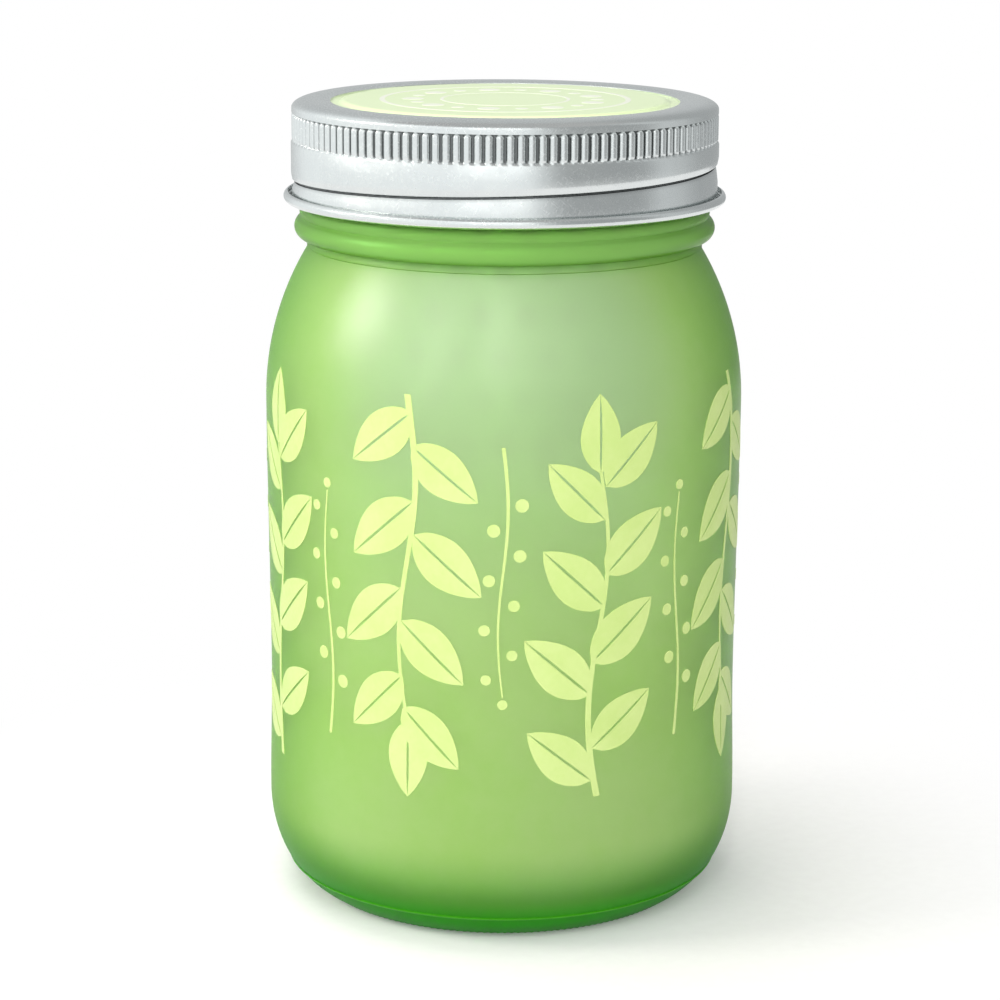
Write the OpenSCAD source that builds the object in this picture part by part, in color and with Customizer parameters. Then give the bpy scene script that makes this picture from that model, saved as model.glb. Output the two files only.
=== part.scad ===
// Hydroponic jar planter: a frosted glass pint jar with a two-piece screw lid, and inside it
// a perforated net pot that hangs in the mouth, a felt wick, growing medium and three packets.
// Millimetres. Z is up along the jar's axis, and z = 0 is the surface that the jar stands on.

/* [Jar body] */
// Outside diameter of the glass body
body_d = 82.6; // [80:0.2:96]
// Height of the glass from the table to its sealing rim
jar_h = 136.6; // [130:0.2:170]
// Thickness of the glass wall
glass_t = 3; // [2.4:0.1:3.6]
// Thickness of the glass floor above the hollow underside
floor_t = 4.2; // [3:0.1:6]
// Outer radius of the ring that the jar stands on
stand_r = 29.5; // [27:0.1:32]
// Width of that standing ring
stand_w = 4.5; // [3:0.1:6]
// Height of the hollow under the middle of the floor
kick_h = 2.6; // [1:0.1:4]
// Height of the rounded heel
heel_h = 17.2; // [12:0.1:22]
// Height of the narrowest line of the label panel
waist_z = 39; // [30:0.5:50]
// How far the label panel is drawn in at that line
waist_in = 0.38; // [0:0.02:0.8]

/* [Jar shoulder and neck] */
// Inside diameter of the mouth
mouth_d = 60.3; // [58:0.1:64]
// Thickness of the glass in the neck, between the threads
neck_wall = 3.25; // [2.8:0.05:3.6]
// Radius of the rounded edges of the sealing rim
rim_round = 0.9; // [0.5:0.1:1.2]
// Height from the rim down to the middle of the neck bead
bead_drop = 18.9; // [18:0.1:20]
// How far the neck bead stands out from the neck
bead_out = 2.65; // [2:0.05:3]
// Half the height of the neck bead
bead_half = 2.25; // [1.8:0.05:2.6]
// Radius of the shoulder curve
shoulder_r = 50; // [46:0.5:56]
// Height from the rim down to where the shoulder runs into the neck
shoulder_end_drop = 22.7; // [22:0.1:26]
// How far the shoulder's end stands out from the neck
shoulder_end_out = 0.3; // [0:0.1:1]

/* [Screw band] */
// Thickness of the band's tinplate
band_t = 0.3; // [0.25:0.05:0.4]
// Clear distance between the disc's edge and the inside of the band
disc_clear = 1.5; // [1:0.1:2]
// Number of knurled ribs
knurl_count = 130; // [90:2:140]
// Depth of the grooves between the ribs
knurl_depth = 0.35; // [0.2:0.05:0.5]
// Height of the knurled zone
knurl_h = 4.9; // [3:0.1:6]
// Height from the band's top down to the knurled zone
knurl_drop = 2.4; // [2:0.1:3]
// Radius of the band's top corner
band_corner_r = 1.5; // [1:0.1:1.8]
// Width of the band's flat top, from its knurl in to its window
lip_w = 6.6; // [6:0.1:8]
// Drop of the band's lip from its crest to the window
lip_dip = 0.5; // [0.2:0.05:0.8]
// Height of the band from its top to the middle of its rolled hem
band_h = 16.4; // [15.5:0.1:17]
// How far the skirt stands out past the knurl where it runs into its hem
skirt_out = 0.05; // [0:0.05:0.3]
// Radius of the roll in the hem
hem_r = 0.85; // [0.6:0.05:1]
// Height from the band's top down to the pressed thread groove
groove_drop = 12.4; // [11.5:0.1:13]
// How far that groove is pressed in
groove_in = 0.9; // [0.4:0.05:1]
// Height over which the band runs down into the groove
groove_run = 2.4; // [2:0.1:2.6]
// How far the plain band below the knurl stands out past it
plain_out = 0.15; // [0:0.05:0.3]

/* [Lid disc] */
// Thickness of the lid's tinplate disc
disc_t = 0.3; // [0.2:0.05:0.5]
// How far the disc reaches past the neck
disc_over = 0.8; // [0:0.1:1.2]
// Height of the raised middle of the disc
disc_rise = 0.45; // [0.2:0.05:0.5]
// Distance from the band's window in to the raised middle
rise_in = 2.75; // [2:0.05:8]
// Width of the slope up to the raised middle
rise_slope = 1.5; // [0.8:0.1:2]
// Thickness of the sealing ring
seal_t = 0.6; // [0.4:0.05:1]
// Width of the sealing ring
seal_w = 4.6; // [3:0.1:5]
// Distance from the disc's edge in to the sealing ring
seal_in = 0.4; // [0.2:0.1:1]
// Thickness of the printed cover sheet on the disc
sheet_t = 0.16; // [0.1:0.02:0.3]
// Distance from the disc's edge in to the cover sheet's edge
sheet_in = 0.7; // [0.4:0.1:3]

/* [Net pot] */
// Thickness of the pot's stainless sheet
pot_t = 0.5; // [0.4:0.05:0.7]
// Depth of the pot below the rim
pot_depth = 60; // [50:1:66]
// Distance from the neck's outside in to the edge of the flange that hangs on the rim
flange_in = 0.4; // [0:0.1:1.4]
// Height of the collar's sleeve in the mouth
sleeve_h = 8; // [5:0.5:10]
// Diameter of the holes in the wall
hole_d = 3.4; // [2:0.1:4]
// Number of holes in a row
holes_around = 24; // [16:2:28]
// Number of rows of holes
hole_rows = 6; // [3:1:6]
// Distance between two rows
row_pitch = 7; // [6:0.1:7.4]
// Height from the pot's bottom to the lowest row
first_row = 8.5; // [7.5:0.1:10]
// Height of the floor's welded skirt
skirt_h = 4; // [2:0.1:5]
// Diameter of the drain holes in the floor
drain_d = 4; // [2:0.1:5]
// Number of drain holes
drain_count = 10; // [6:1:12]
// Radius of the ring of drain holes
drain_ring_r = 19; // [17:0.1:22]

/* [Wick and growing medium] */
// Thickness of the felt wick
wick_t = 2; // [1:0.1:3]
// Width of the wick
wick_w = 12; // [6:0.5:16]
// Clear distance between the wick's two tails in the pot's floor
wick_gap = 5; // [3:0.5:8]
// Height of the wick's loop above the pot's floor
loop_h = 26; // [15:1:34]
// How far each tail drifts outwards on its way down
tail_drift = 4; // [0:0.5:8]
// How far each tail hangs straight under the pot before it drifts
tail_straight = 2; // [1:0.5:6]
// Clear height under the tails
tail_clear = 3; // [1:0.5:20]
// Distance from the rim down to the top of the medium
medium_drop = 13; // [8:1:20]
// Height of the crown on the medium
medium_crown = 1.6; // [0.5:0.1:3]

/* [Packets] */
// Width of the seed packet
seed_w = 38; // [30:1:44]
// Height of the seed packet
seed_h = 52; // [40:1:56]
// Thickness of the seed packet
seed_t = 2.2; // [1.4:0.1:4]
// Width of the plant food sachet
food_w = 34; // [24:1:38]
// Height of the plant food sachet
food_h = 44; // [30:1:50]
// Thickness of the plant food sachet
food_t = 6; // [3:0.5:8]
// Width of the carbon sachet
carbon_w = 26; // [20:1:32]
// Height of the carbon sachet
carbon_h = 40; // [30:1:46]
// Thickness of the carbon sachet
carbon_t = 6; // [3:0.5:7]
// Thickness of a packet's sealed edge
packet_edge_t = 0.8; // [0.5:0.1:1.2]
// Width of a packet's sealed edge
packet_edge_w = 4; // [2:0.5:6]
// How far a packet leans out from upright, in degrees
packet_lean = 15; // [8:0.5:18]
// Clear distance between the lower corners of two packets
packet_gap = 1; // [0.5:0.5:4]

/* [Fits] */
// Gap between faces that lie on each other in the lid
seat_gap = 0.05; // [0.02:0.01:0.15]
// Gap between the pot's welded sheets
weld_gap = 0.05; // [0.02:0.01:0.1]
// Gap between the pot's collar and the mouth
mouth_clear = 0.6; // [0.3:0.05:1]
// Gap round soft pieces
soft_gap = 0.3; // [0.2:0.05:0.5]

/* [Hidden] */

$fn = 96;
// Number of straight steps in a quarter of a profile's curve
STEPS = 14;

GLASS = [0.56, 0.79, 0.42];
TINPLATE = [0.80, 0.81, 0.80];
STAINLESS = [0.72, 0.74, 0.75];

// How far a cut runs out past the sheet that it cuts
CUT_OVER = 1;

// Jar radii and heights, counted from the table
body_r = body_d / 2;
bead_z = jar_h - bead_drop;
kick_r = stand_r - stand_w;
mouth_r = mouth_d / 2;
neck_r = mouth_r + neck_wall;
bead_r = neck_r + bead_out;
inner_floor_z = kick_h + floor_t;

// Shoulder curve: it turns in as far as the neck asks, and starts that much lower
shoulder_end_r = neck_r + shoulder_end_out;
shoulder_turn = acos(1 - (body_r - shoulder_end_r) / shoulder_r);
shoulder_z = jar_h - shoulder_end_drop - shoulder_r * sin(shoulder_turn);

// Stack on the rim, from the pot's flange up to the band's lip
flange_z = jar_h + seat_gap;
seal_z = flange_z + pot_t + seat_gap;
disc_z = seal_z + seal_t;
sheet_z = disc_z + disc_t + seat_gap;
lip_z = sheet_z + sheet_t + seat_gap;

// Lid and band radii, counted out from the neck
disc_r = neck_r + disc_over;
sheet_r = disc_r - sheet_in;
seal_r = disc_r - seal_in;
root_r = disc_r + disc_clear + band_t;
band_r = root_r + knurl_depth;
window_r = band_r - lip_w;
rise_r = window_r - rise_in;
plain_r = band_r + plain_out;
groove_r = plain_r - groove_in;
skirt_end_r = band_r + skirt_out;

// Band heights, counted down from its top
band_top = lip_z + band_t + lip_dip;
hem_z = band_top - band_h;
groove_z = band_top - groove_drop;
knurl_top = band_top - knurl_drop;
knurl_low = knurl_top - knurl_h;

// Net pot
flange_r = neck_r - flange_in;
sleeve_r = mouth_r - mouth_clear;
wall_r = sleeve_r - pot_t - weld_gap;
wall_in_r = wall_r - pot_t;
pot_z = jar_h - pot_depth;
floor_r = wall_in_r - weld_gap;
medium_r = wall_in_r - soft_gap;
medium_z = pot_z + pot_t + soft_gap;
medium_top = jar_h - medium_drop;

// Wick
slot_w = wick_t + 2 * soft_gap;
slot_x = (wick_gap + wick_t) / 2;
tail_z = inner_floor_z + tail_clear;

// Points on an arc in a profile, from angle a0 to angle a1
function arc(c, r, a0, a1, n) = [for (i = [0:n]) let (a = a0 + (a1 - a0) * i / n) c + r * [cos(a), sin(a)]];

// Smooth step from 0 to 1
function ease(s) = (1 - cos(180 * s)) / 2;

function unit(v) = v / norm(v);

// Unit normal on the left of a path at its point i
function side(p, i) =
    let (d = unit(p[min(i + 1, len(p) - 1)] - p[max(i - 1, 0)])) [-d.y, d.x];

// Closed outline of a sheet that follows a path, with its thickness t on the path's left
function sheet_outline(p, t) =
    concat(p, [for (i = [len(p) - 1:-1:0]) p[i] + t * side(p, i)]);

// Radius of the label panel at height z: the body's, drawn in towards the waist
function panel_r(z) =
    body_r - waist_in * (z < waist_z ? ease((z - heel_h) / (waist_z - heel_h))
        : ease((shoulder_z - z) / (shoulder_z - waist_z)));

// Heel curve, a quarter of an ellipse from radius r0 on the floor level z0 to radius r1 at z1
function heel(r0, z0, r1, z1) =
    [for (i = [0:STEPS]) let (a = 90 * i / STEPS) [r0 + (r1 - r0) * sin(a), z0 + (z1 - z0) * (1 - cos(a))]];

// Outside of the glass from the heel up to the neck bead
function glass_outside() = concat(
    heel(stand_r, 0, body_r, heel_h),
    [for (i = [1:11]) let (z = heel_h + (shoulder_z - heel_h) * i / 12) [panel_r(z), z]],
    arc([body_r - shoulder_r, shoulder_z], shoulder_r, 0, shoulder_turn, STEPS),
    arc([bead_r - bead_half, bead_z], bead_half, -80, 90, STEPS),
    [[neck_r, bead_z + bead_half + 0.6], [neck_r, jar_h - rim_round]],
    arc([neck_r - rim_round, jar_h - rim_round], rim_round, 15, 90, 6)
);

// Inside of the glass from the rim down to the floor
function glass_inside() =
    let (inner_heel = heel(stand_r - glass_t, inner_floor_z, body_r - glass_t, heel_h + glass_t))
    concat(
        arc([mouth_r + rim_round, jar_h - rim_round], rim_round, 90, 180, 6),
        [[mouth_r, bead_z - bead_half]],
        arc([body_r - shoulder_r, shoulder_z], shoulder_r - glass_t, shoulder_turn - 2, 0, STEPS),
        [for (i = [11:-1:2]) let (z = heel_h + (shoulder_z - heel_h) * i / 12) [panel_r(z) - glass_t, z]],
        [for (i = [STEPS - 1:-1:0]) inner_heel[i]]
    );

module jar() {
    color(GLASS)
        rotate_extrude()
            polygon(concat(
                [[0, kick_h]],
                arc([kick_r - kick_h, 0], kick_h, 90, 0, 6),
                glass_outside(),
                glass_inside(),
                [[0, inner_floor_z + 0.6]]
            ));
}

// Outside of the band's sheet, from the window over the top and down to the hem
function band_path() = concat(
    [[window_r, lip_z + band_t], [window_r + 0.25 * lip_w, lip_z + band_t + 0.2 * lip_dip]],
    [[window_r + 0.45 * lip_w, band_top - 0.1 * lip_dip], [window_r + 0.58 * lip_w, band_top]],
    arc([band_r - band_corner_r, band_top - band_corner_r], band_corner_r, 90, 0, 8),
    [[band_r, knurl_top + band_t], [band_r, knurl_top], [band_r, knurl_low], [plain_r, knurl_low - 3 * band_t]],
    [for (i = [0:6]) let (s = i / 6) [plain_r - groove_in * ease(s), groove_z + groove_run * (1 - s)]],
    [for (i = [1:5]) let (s = i / 5)
        [groove_r + (skirt_end_r - groove_r) * sin(90 * s), groove_z + (hem_z + hem_r - groove_z) * s]]
);

// Thickness of the band at height z: the knurled zone also holds the depth of its grooves
function band_thickness(z) = z <= knurl_top && z >= knurl_low ? band_t + knurl_depth : band_t;

// Section of the band: down its outside, round the rolled hem and up its inside
function band_section() =
    let (p = band_path())
    concat(
        p,
        arc([skirt_end_r - band_t + hem_r, hem_z], hem_r, 75, -180, 20),
        [for (i = [len(p) - 1:-1:0]) p[i] - band_thickness(p[i].y) * side(p, i)]
    );

// Outline that the knurled zone is cut to: a round-bottomed groove after each rib
module knurl_outline() {
    step = 360 / knurl_count;
    shares = [0.02, 0.48, 0.62, 0.75, 0.88];
    radii = [for (depth = [-0.6, -0.6, 0.8, 1, 0.8]) band_r - depth * knurl_depth];
    polygon([for (i = [0:knurl_count - 1], k = [0:4])
        radii[k] * [cos((i + shares[k]) * step), sin((i + shares[k]) * step)]]);
}

module screw_band() {
    color(TINPLATE)
        difference() {
            rotate_extrude()
                polygon(band_section());
            translate([0, 0, knurl_low])
                linear_extrude(height = knurl_h)
                    difference() {
                        circle(r = band_r + CUT_OVER);
                        knurl_outline();
                    }
        }
}

// Disc path from its middle out over the raised edge to its rim
function disc_path() = [
    [0, disc_z + disc_rise],
    [rise_r, disc_z + disc_rise],
    [rise_r + rise_slope, disc_z],
    [disc_r, disc_z]
];

module lid_disc() {
    color(TINPLATE)
        rotate_extrude()
            polygon(sheet_outline(disc_path(), disc_t));
}

module lid_seal() {
    color([0.86, 0.85, 0.80])
        rotate_extrude()
            translate([seal_r - seal_w, seal_z])
                square([seal_w, seal_t]);
}

// The cover sheet lies on the disc and follows its raised middle
function sheet_path() = [
    [0, sheet_z + disc_rise],
    [rise_r + 2 * seat_gap, sheet_z + disc_rise],
    [rise_r + rise_slope + 2 * seat_gap, sheet_z],
    [sheet_r, sheet_z]
];

module lid_sheet() {
    color([0.84, 0.95, 0.62])
        rotate_extrude()
            polygon(sheet_outline(sheet_path(), sheet_t));
}

module net_pot_collar() {
    color(STAINLESS)
        rotate_extrude()
            polygon(sheet_outline(concat(
                [[flange_r, flange_z]],
                arc([sleeve_r + 2 * pot_t, flange_z - 2 * pot_t], 2 * pot_t, 90, 180, 6),
                [[sleeve_r, flange_z - sleeve_h]]
            ), -pot_t));
}

module net_pot_wall() {
    color(STAINLESS)
        difference() {
            translate([0, 0, pot_z])
                difference() {
                    cylinder(h = pot_depth - 3 * pot_t, r = wall_r);
                    translate([0, 0, -CUT_OVER])
                        cylinder(h = pot_depth + CUT_OVER, r = wall_in_r);
                }
            for (row = [0:hole_rows - 1], i = [0:holes_around - 1])
                rotate([0, 0, (i + (row % 2) / 2) * 360 / holes_around])
                    translate([wall_r - pot_t / 2, 0, pot_z + first_row + row * row_pitch])
                        rotate([0, 90, 0])
                            cylinder(h = pot_t + 2 * CUT_OVER, d = hole_d, center = true, $fn = 24);
        }
}

module net_pot_floor() {
    color(STAINLESS)
        translate([0, 0, pot_z])
            difference() {
                cylinder(h = skirt_h, r = floor_r);
                translate([0, 0, pot_t])
                    cylinder(h = skirt_h, r = floor_r - pot_t);
                for (i = [0:drain_count - 1])
                    rotate([0, 0, (i + 0.5) * 360 / drain_count])
                        translate([drain_ring_r, 0, -CUT_OVER])
                            cylinder(h = pot_t + 2 * CUT_OVER, d = drain_d, $fn = 24);
                for (s = [-1, 1])
                    translate([s * slot_x - slot_w / 2, -wick_w / 2 - soft_gap, -CUT_OVER])
                        cube([slot_w, wick_w + 2 * soft_gap, pot_t + 2 * CUT_OVER]);
            }
}

// Middle line of a tail, up to where it hangs straight under the pot
function tail(s) =
    [for (i = [0:8]) let (t = i / 8)
        [s * (slot_x + tail_drift * ease(1 - t)), tail_z + (pot_z - tail_straight - tail_z) * t]];

// Middle line of the wick, up one tail, round the loop and down the other
function wick_line() = concat(
    tail(-1),
    arc([0, pot_z + loop_h - slot_x], slot_x, 180, 0, 12),
    [for (i = [8:-1:0]) tail(1)[i]]
);

// Flat outline of the wick, grown by g on each side
module wick_outline(g) {
    line = wick_line();
    n = len(line);
    polygon(concat(
        [for (i = [0:n - 1]) line[i] + (wick_t / 2 + g) * side(line, i)],
        [for (i = [n - 1:-1:0]) line[i] - (wick_t / 2 + g) * side(line, i)]
    ));
}

module wick_strip(g) {
    rotate([90, 0, 0])
        linear_extrude(height = wick_w + 2 * g, center = true)
            wick_outline(g);
}

module wick() {
    color([0.93, 0.91, 0.85])
        wick_strip(0);
}

module grow_medium() {
    step_z = pot_z + skirt_h + soft_gap;
    color([0.36, 0.25, 0.16])
        difference() {
            rotate_extrude()
                polygon([
                    [0, medium_z],
                    [floor_r - pot_t - soft_gap, medium_z],
                    [floor_r - pot_t - soft_gap, step_z],
                    [medium_r, step_z + 1],
                    [medium_r, medium_top - medium_crown],
                    [medium_r * 0.8, medium_top - medium_crown * 0.4],
                    [medium_r * 0.4, medium_top],
                    [0, medium_top]
                ]);
            wick_strip(soft_gap);
        }
}

// A pouch with flat sealed edges and a full middle, standing on its lower edge
module pouch(w, h, t) {
    hull() {
        translate([-w / 2, -packet_edge_t / 2, 0])
            cube([w, packet_edge_t, h]);
        translate([-w / 2 + packet_edge_w, -t / 2, packet_edge_w + t])
            cube([w - 2 * packet_edge_w, t, h - 2 * packet_edge_w - 2 * t]);
    }
}

// Inside radius of the glass at the height where a leaning packet's top edge lies
glass_in_r = body_r - glass_t - waist_in;

// How far out the lower edge of a packet stands, so that its top corners lean on the glass
function foot_r(w, h) =
    sqrt(pow(glass_in_r - soft_gap, 2) - pow(w / 2, 2)) - packet_edge_t - h * sin(packet_lean);

// Angle that half a packet's lower edge takes, seen from the jar's axis, with half the gap beside it
function half_turn(w, h) = atan((w + packet_gap) / 2 / (foot_r(w, h) - packet_edge_t / 2));

// Turns of the two sachets from the seed packet, one each way round
food_turn = half_turn(seed_w, seed_h) + half_turn(food_w, food_h);
carbon_turn = half_turn(seed_w, seed_h) + half_turn(carbon_w, carbon_h);

// Places a packet round the axis, its foot on the floor and its top against the wall
module lean_on_wall(turn, w, h) {
    rotate([0, 0, turn])
        translate([0, foot_r(w, h), inner_floor_z + 0.6 + soft_gap])
            rotate([-packet_lean, 0, 0])
                children();
}

module seed_packet() {
    color([0.93, 0.93, 0.86])
        lean_on_wall(0, seed_w, seed_h)
            pouch(seed_w, seed_h, seed_t);
}

module plant_food_sachet() {
    color([0.95, 0.95, 0.93])
        lean_on_wall(food_turn, food_w, food_h)
            pouch(food_w, food_h, food_t);
}

module carbon_sachet() {
    color([0.24, 0.24, 0.25])
        lean_on_wall(-carbon_turn, carbon_w, carbon_h)
            pouch(carbon_w, carbon_h, carbon_t);
}

jar();
screw_band();
lid_disc();
lid_seal();
lid_sheet();
net_pot_collar();
net_pot_wall();
net_pot_floor();
wick();
grow_medium();
seed_packet();
plant_food_sachet();
carbon_sachet();
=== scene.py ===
"""Looks of the hydroponic jar planter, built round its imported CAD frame.

The jar stands on z = 0 with its axis on Z, and the photographed side faces -Y.
Every length is in metres and every angle in radians, unless a name says otherwise.
"""

import logging
import math
from dataclasses import dataclass
from enum import Enum
from typing import Callable, Sequence

import bpy
from mathutils import Matrix, Vector, noise


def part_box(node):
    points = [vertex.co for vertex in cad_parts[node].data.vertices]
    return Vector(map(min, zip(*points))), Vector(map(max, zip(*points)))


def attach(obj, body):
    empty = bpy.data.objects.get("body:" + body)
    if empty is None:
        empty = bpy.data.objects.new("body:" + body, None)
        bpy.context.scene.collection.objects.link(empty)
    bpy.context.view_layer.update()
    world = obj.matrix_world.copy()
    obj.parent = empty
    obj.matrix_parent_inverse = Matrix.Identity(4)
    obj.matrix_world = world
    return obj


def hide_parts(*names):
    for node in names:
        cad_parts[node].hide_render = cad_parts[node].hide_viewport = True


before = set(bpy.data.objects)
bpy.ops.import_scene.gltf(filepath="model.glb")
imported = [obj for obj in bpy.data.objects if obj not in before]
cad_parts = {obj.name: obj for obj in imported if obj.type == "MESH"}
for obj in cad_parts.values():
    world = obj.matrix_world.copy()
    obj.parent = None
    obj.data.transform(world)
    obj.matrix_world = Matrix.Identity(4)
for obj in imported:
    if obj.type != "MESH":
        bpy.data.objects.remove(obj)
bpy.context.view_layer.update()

LOG = logging.getLogger("jar_planter")
MM = 0.001
MERGE = 2e-7
WHITE = (1, 1, 1, 1)
NOISE_SPAN = (0.2, 0.8)

Point = tuple[float, float]
Rule = Callable[[Vector], Vector]


class Body(Enum):
    """The bodies that the new pieces ride on."""

    JAR = "jar"
    NET_POT = "net_pot"
    COVER = "cover"
    BAND = "band"


class Slot(Enum):
    """The record's material slots, named for the new pieces."""

    GLASS = "frosted_glass"
    BAND = "band_tinplate"
    COVER = "cover_sheet"
    WICK = "wick_felt"
    MEDIUM = "coir_medium"
    PACKET = "packet_paper"
    SACHET = "sachet_film"
    CARBON = "carbon_paper"


def ease(share: float) -> float:
    """Returns a smooth step from 0 to 1 as share goes from 0 to 1, held outside that."""
    return (1 - math.cos(math.pi * min(max(share, 0.0), 1.0))) / 2


def arc(centre: Point, radius: float, start_deg: float, end_deg: float, steps: int) -> list[Point]:
    """Lays points along an arc of a profile.

    Args:
        centre: Middle of the arc, as radius from the axis and height.
        radius: Radius of the arc.
        start_deg: Angle of the first point, in degrees.
        end_deg: Angle of the last point, in degrees.
        steps: Number of straight steps between them.

    Returns:
        The points, as radius from the axis and height.
    """
    turns = [math.radians(start_deg + (end_deg - start_deg) * i / steps) for i in range(steps + 1)]
    return [(centre[0] + radius * math.cos(a), centre[1] + radius * math.sin(a)) for a in turns]


def quarter(low: Point, high: Point, steps: int) -> list[Point]:
    """Lays points along a quarter of an ellipse that leaves its low end level and ends upright.

    Args:
        low: First point, as radius from the axis and height.
        high: Last point.
        steps: Number of straight steps between them.

    Returns:
        The points, as radius from the axis and height.
    """
    turns = [math.pi / 2 * i / steps for i in range(steps + 1)]
    wide, tall = high[0] - low[0], high[1] - low[1]
    return [(low[0] + wide * math.sin(a), low[1] + tall * (1 - math.cos(a))) for a in turns]


def deselect() -> None:
    """Leaves edit mode and deselects every object."""
    if bpy.context.object and bpy.context.object.mode != "OBJECT":
        bpy.ops.object.mode_set(mode="OBJECT")
    bpy.ops.object.select_all(action="DESELECT")


def make_active(piece: bpy.types.Object) -> None:
    """Selects one object alone and makes it the active one."""
    deselect()
    piece.select_set(True)
    bpy.context.view_layer.objects.active = piece


def edit_all(piece: bpy.types.Object) -> None:
    """Opens a piece in edit mode with its whole mesh selected."""
    make_active(piece)
    bpy.ops.object.mode_set(mode="EDIT")
    bpy.ops.mesh.select_all(action="SELECT")


def close_edit() -> None:
    """Goes back to object mode."""
    bpy.ops.object.mode_set(mode="OBJECT")


def clean_mesh(piece: bpy.types.Object) -> None:
    """Merges a piece's doubled points and turns its faces outwards."""
    edit_all(piece)
    bpy.ops.mesh.remove_doubles(threshold=MERGE)
    bpy.ops.mesh.normals_make_consistent(inside=False)
    close_edit()


def face_outwards(piece: bpy.types.Object) -> None:
    """Flips an open sheet round the axis if its faces look towards the axis."""
    look = sum(
        face.area * (face.normal.x * face.center.x + face.normal.y * face.center.y)
        for face in piece.data.polygons
    )
    if look < 0:
        edit_all(piece)
        bpy.ops.mesh.flip_normals()
        close_edit()


def lathe(name: str, profile: Sequence[Point], columns: int) -> bpy.types.Object:
    """Turns a profile round the Z axis.

    Args:
        name: Name of the new piece.
        profile: Points of radius and height, in order along the profile.
        columns: Number of steps round the axis.

    Returns:
        The turned piece, merged, with its faces outwards.
    """
    deselect()
    bpy.ops.mesh.primitive_plane_add(size=MM, location=(0, 0, 0))
    piece = bpy.context.object
    piece.name = name
    edit_all(piece)
    bpy.ops.mesh.merge(type="CENTER")
    bpy.ops.transform.translate(value=(profile[0][0], 0, profile[0][1]))
    for here, there in zip(profile, profile[1:]):
        step = (there[0] - here[0], 0, there[1] - here[1])
        bpy.ops.mesh.extrude_vertices_move(TRANSFORM_OT_translate={"value": step})
    bpy.ops.mesh.select_all(action="SELECT")
    bpy.ops.mesh.spin(steps=columns, angle=math.tau, center=(0, 0, 0), axis=(0, 0, 1))
    close_edit()
    clean_mesh(piece)
    return piece


def reshape(piece: bpy.types.Object, rule: Rule) -> None:
    """Moves every point of a piece by a rule."""
    for vertex in piece.data.vertices:
        vertex.co = rule(vertex.co.copy())
    piece.data.update()


def add_modifier(piece: bpy.types.Object, kind: str, **settings: object) -> None:
    """Adds a modifier with its settings and applies it.

    Args:
        piece: The piece that gets it.
        kind: Type of the modifier, such as SOLIDIFY.
        **settings: Values of its properties.
    """
    make_active(piece)
    modifier = piece.modifiers.new(kind.lower(), kind)
    for key, value in settings.items():
        setattr(modifier, key, value)
    bpy.ops.object.modifier_apply(modifier=modifier.name)


def smooth(piece: bpy.types.Object, angle_deg: float) -> None:
    """Shades a piece smooth, with edges over the angle kept sharp."""
    make_active(piece)
    bpy.ops.object.shade_smooth_by_angle(angle=math.radians(angle_deg))


def join(pieces: Sequence[bpy.types.Object], name: str) -> bpy.types.Object:
    """Joins pieces into the first one.

    Args:
        pieces: The objects to join.
        name: Name of the joined piece.

    Returns:
        The joined piece.
    """
    make_active(pieces[0])
    for piece in pieces:
        piece.select_set(True)
    bpy.ops.object.join()
    pieces[0].name = name
    return pieces[0]


def settle(piece: bpy.types.Object) -> None:
    """Puts a piece's place, turn and scale into its mesh."""
    make_active(piece)
    bpy.ops.object.transform_apply(location=True, rotation=True, scale=True)


def copy_piece(piece: bpy.types.Object) -> bpy.types.Object:
    """Returns a copy of a piece with its own mesh."""
    twin = piece.copy()
    twin.data = piece.data.copy()
    bpy.context.scene.collection.objects.link(twin)
    return twin


def remove(piece: bpy.types.Object) -> None:
    """Deletes a piece that only served as a pattern."""
    bpy.data.objects.remove(piece)


def dress(
    piece: bpy.types.Object,
    body: Body,
    slot: Slot,
    material: bpy.types.Material,
    nodes: Sequence[str] = (),
) -> bpy.types.Object:
    """Gives a new piece its material and its body, and hides the CAD nodes that it stands for.

    Args:
        piece: The finished piece.
        body: Body that it rides on.
        slot: Slot of the record that it takes its finish from; not used.
        material: Its material.
        nodes: CAD nodes that it replaces.

    Returns:
        The same piece.
    """
    piece.data.materials.clear()
    piece.data.materials.append(material)
    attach(piece, body.value)
    if nodes:
        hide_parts(*nodes)
    LOG.info("%s rides on %s, %d faces", piece.name, body.value, len(piece.data.polygons))
    return piece


def dress_node(name: str, material: bpy.types.Material) -> None:
    """Gives a CAD node that stays its material.

    Args:
        name: Name of the node.
        material: Its material.
    """
    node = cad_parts[name]
    for material_slot in node.material_slots:
        material_slot.material = material
    LOG.info("%s keeps its CAD mesh", name)


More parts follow.
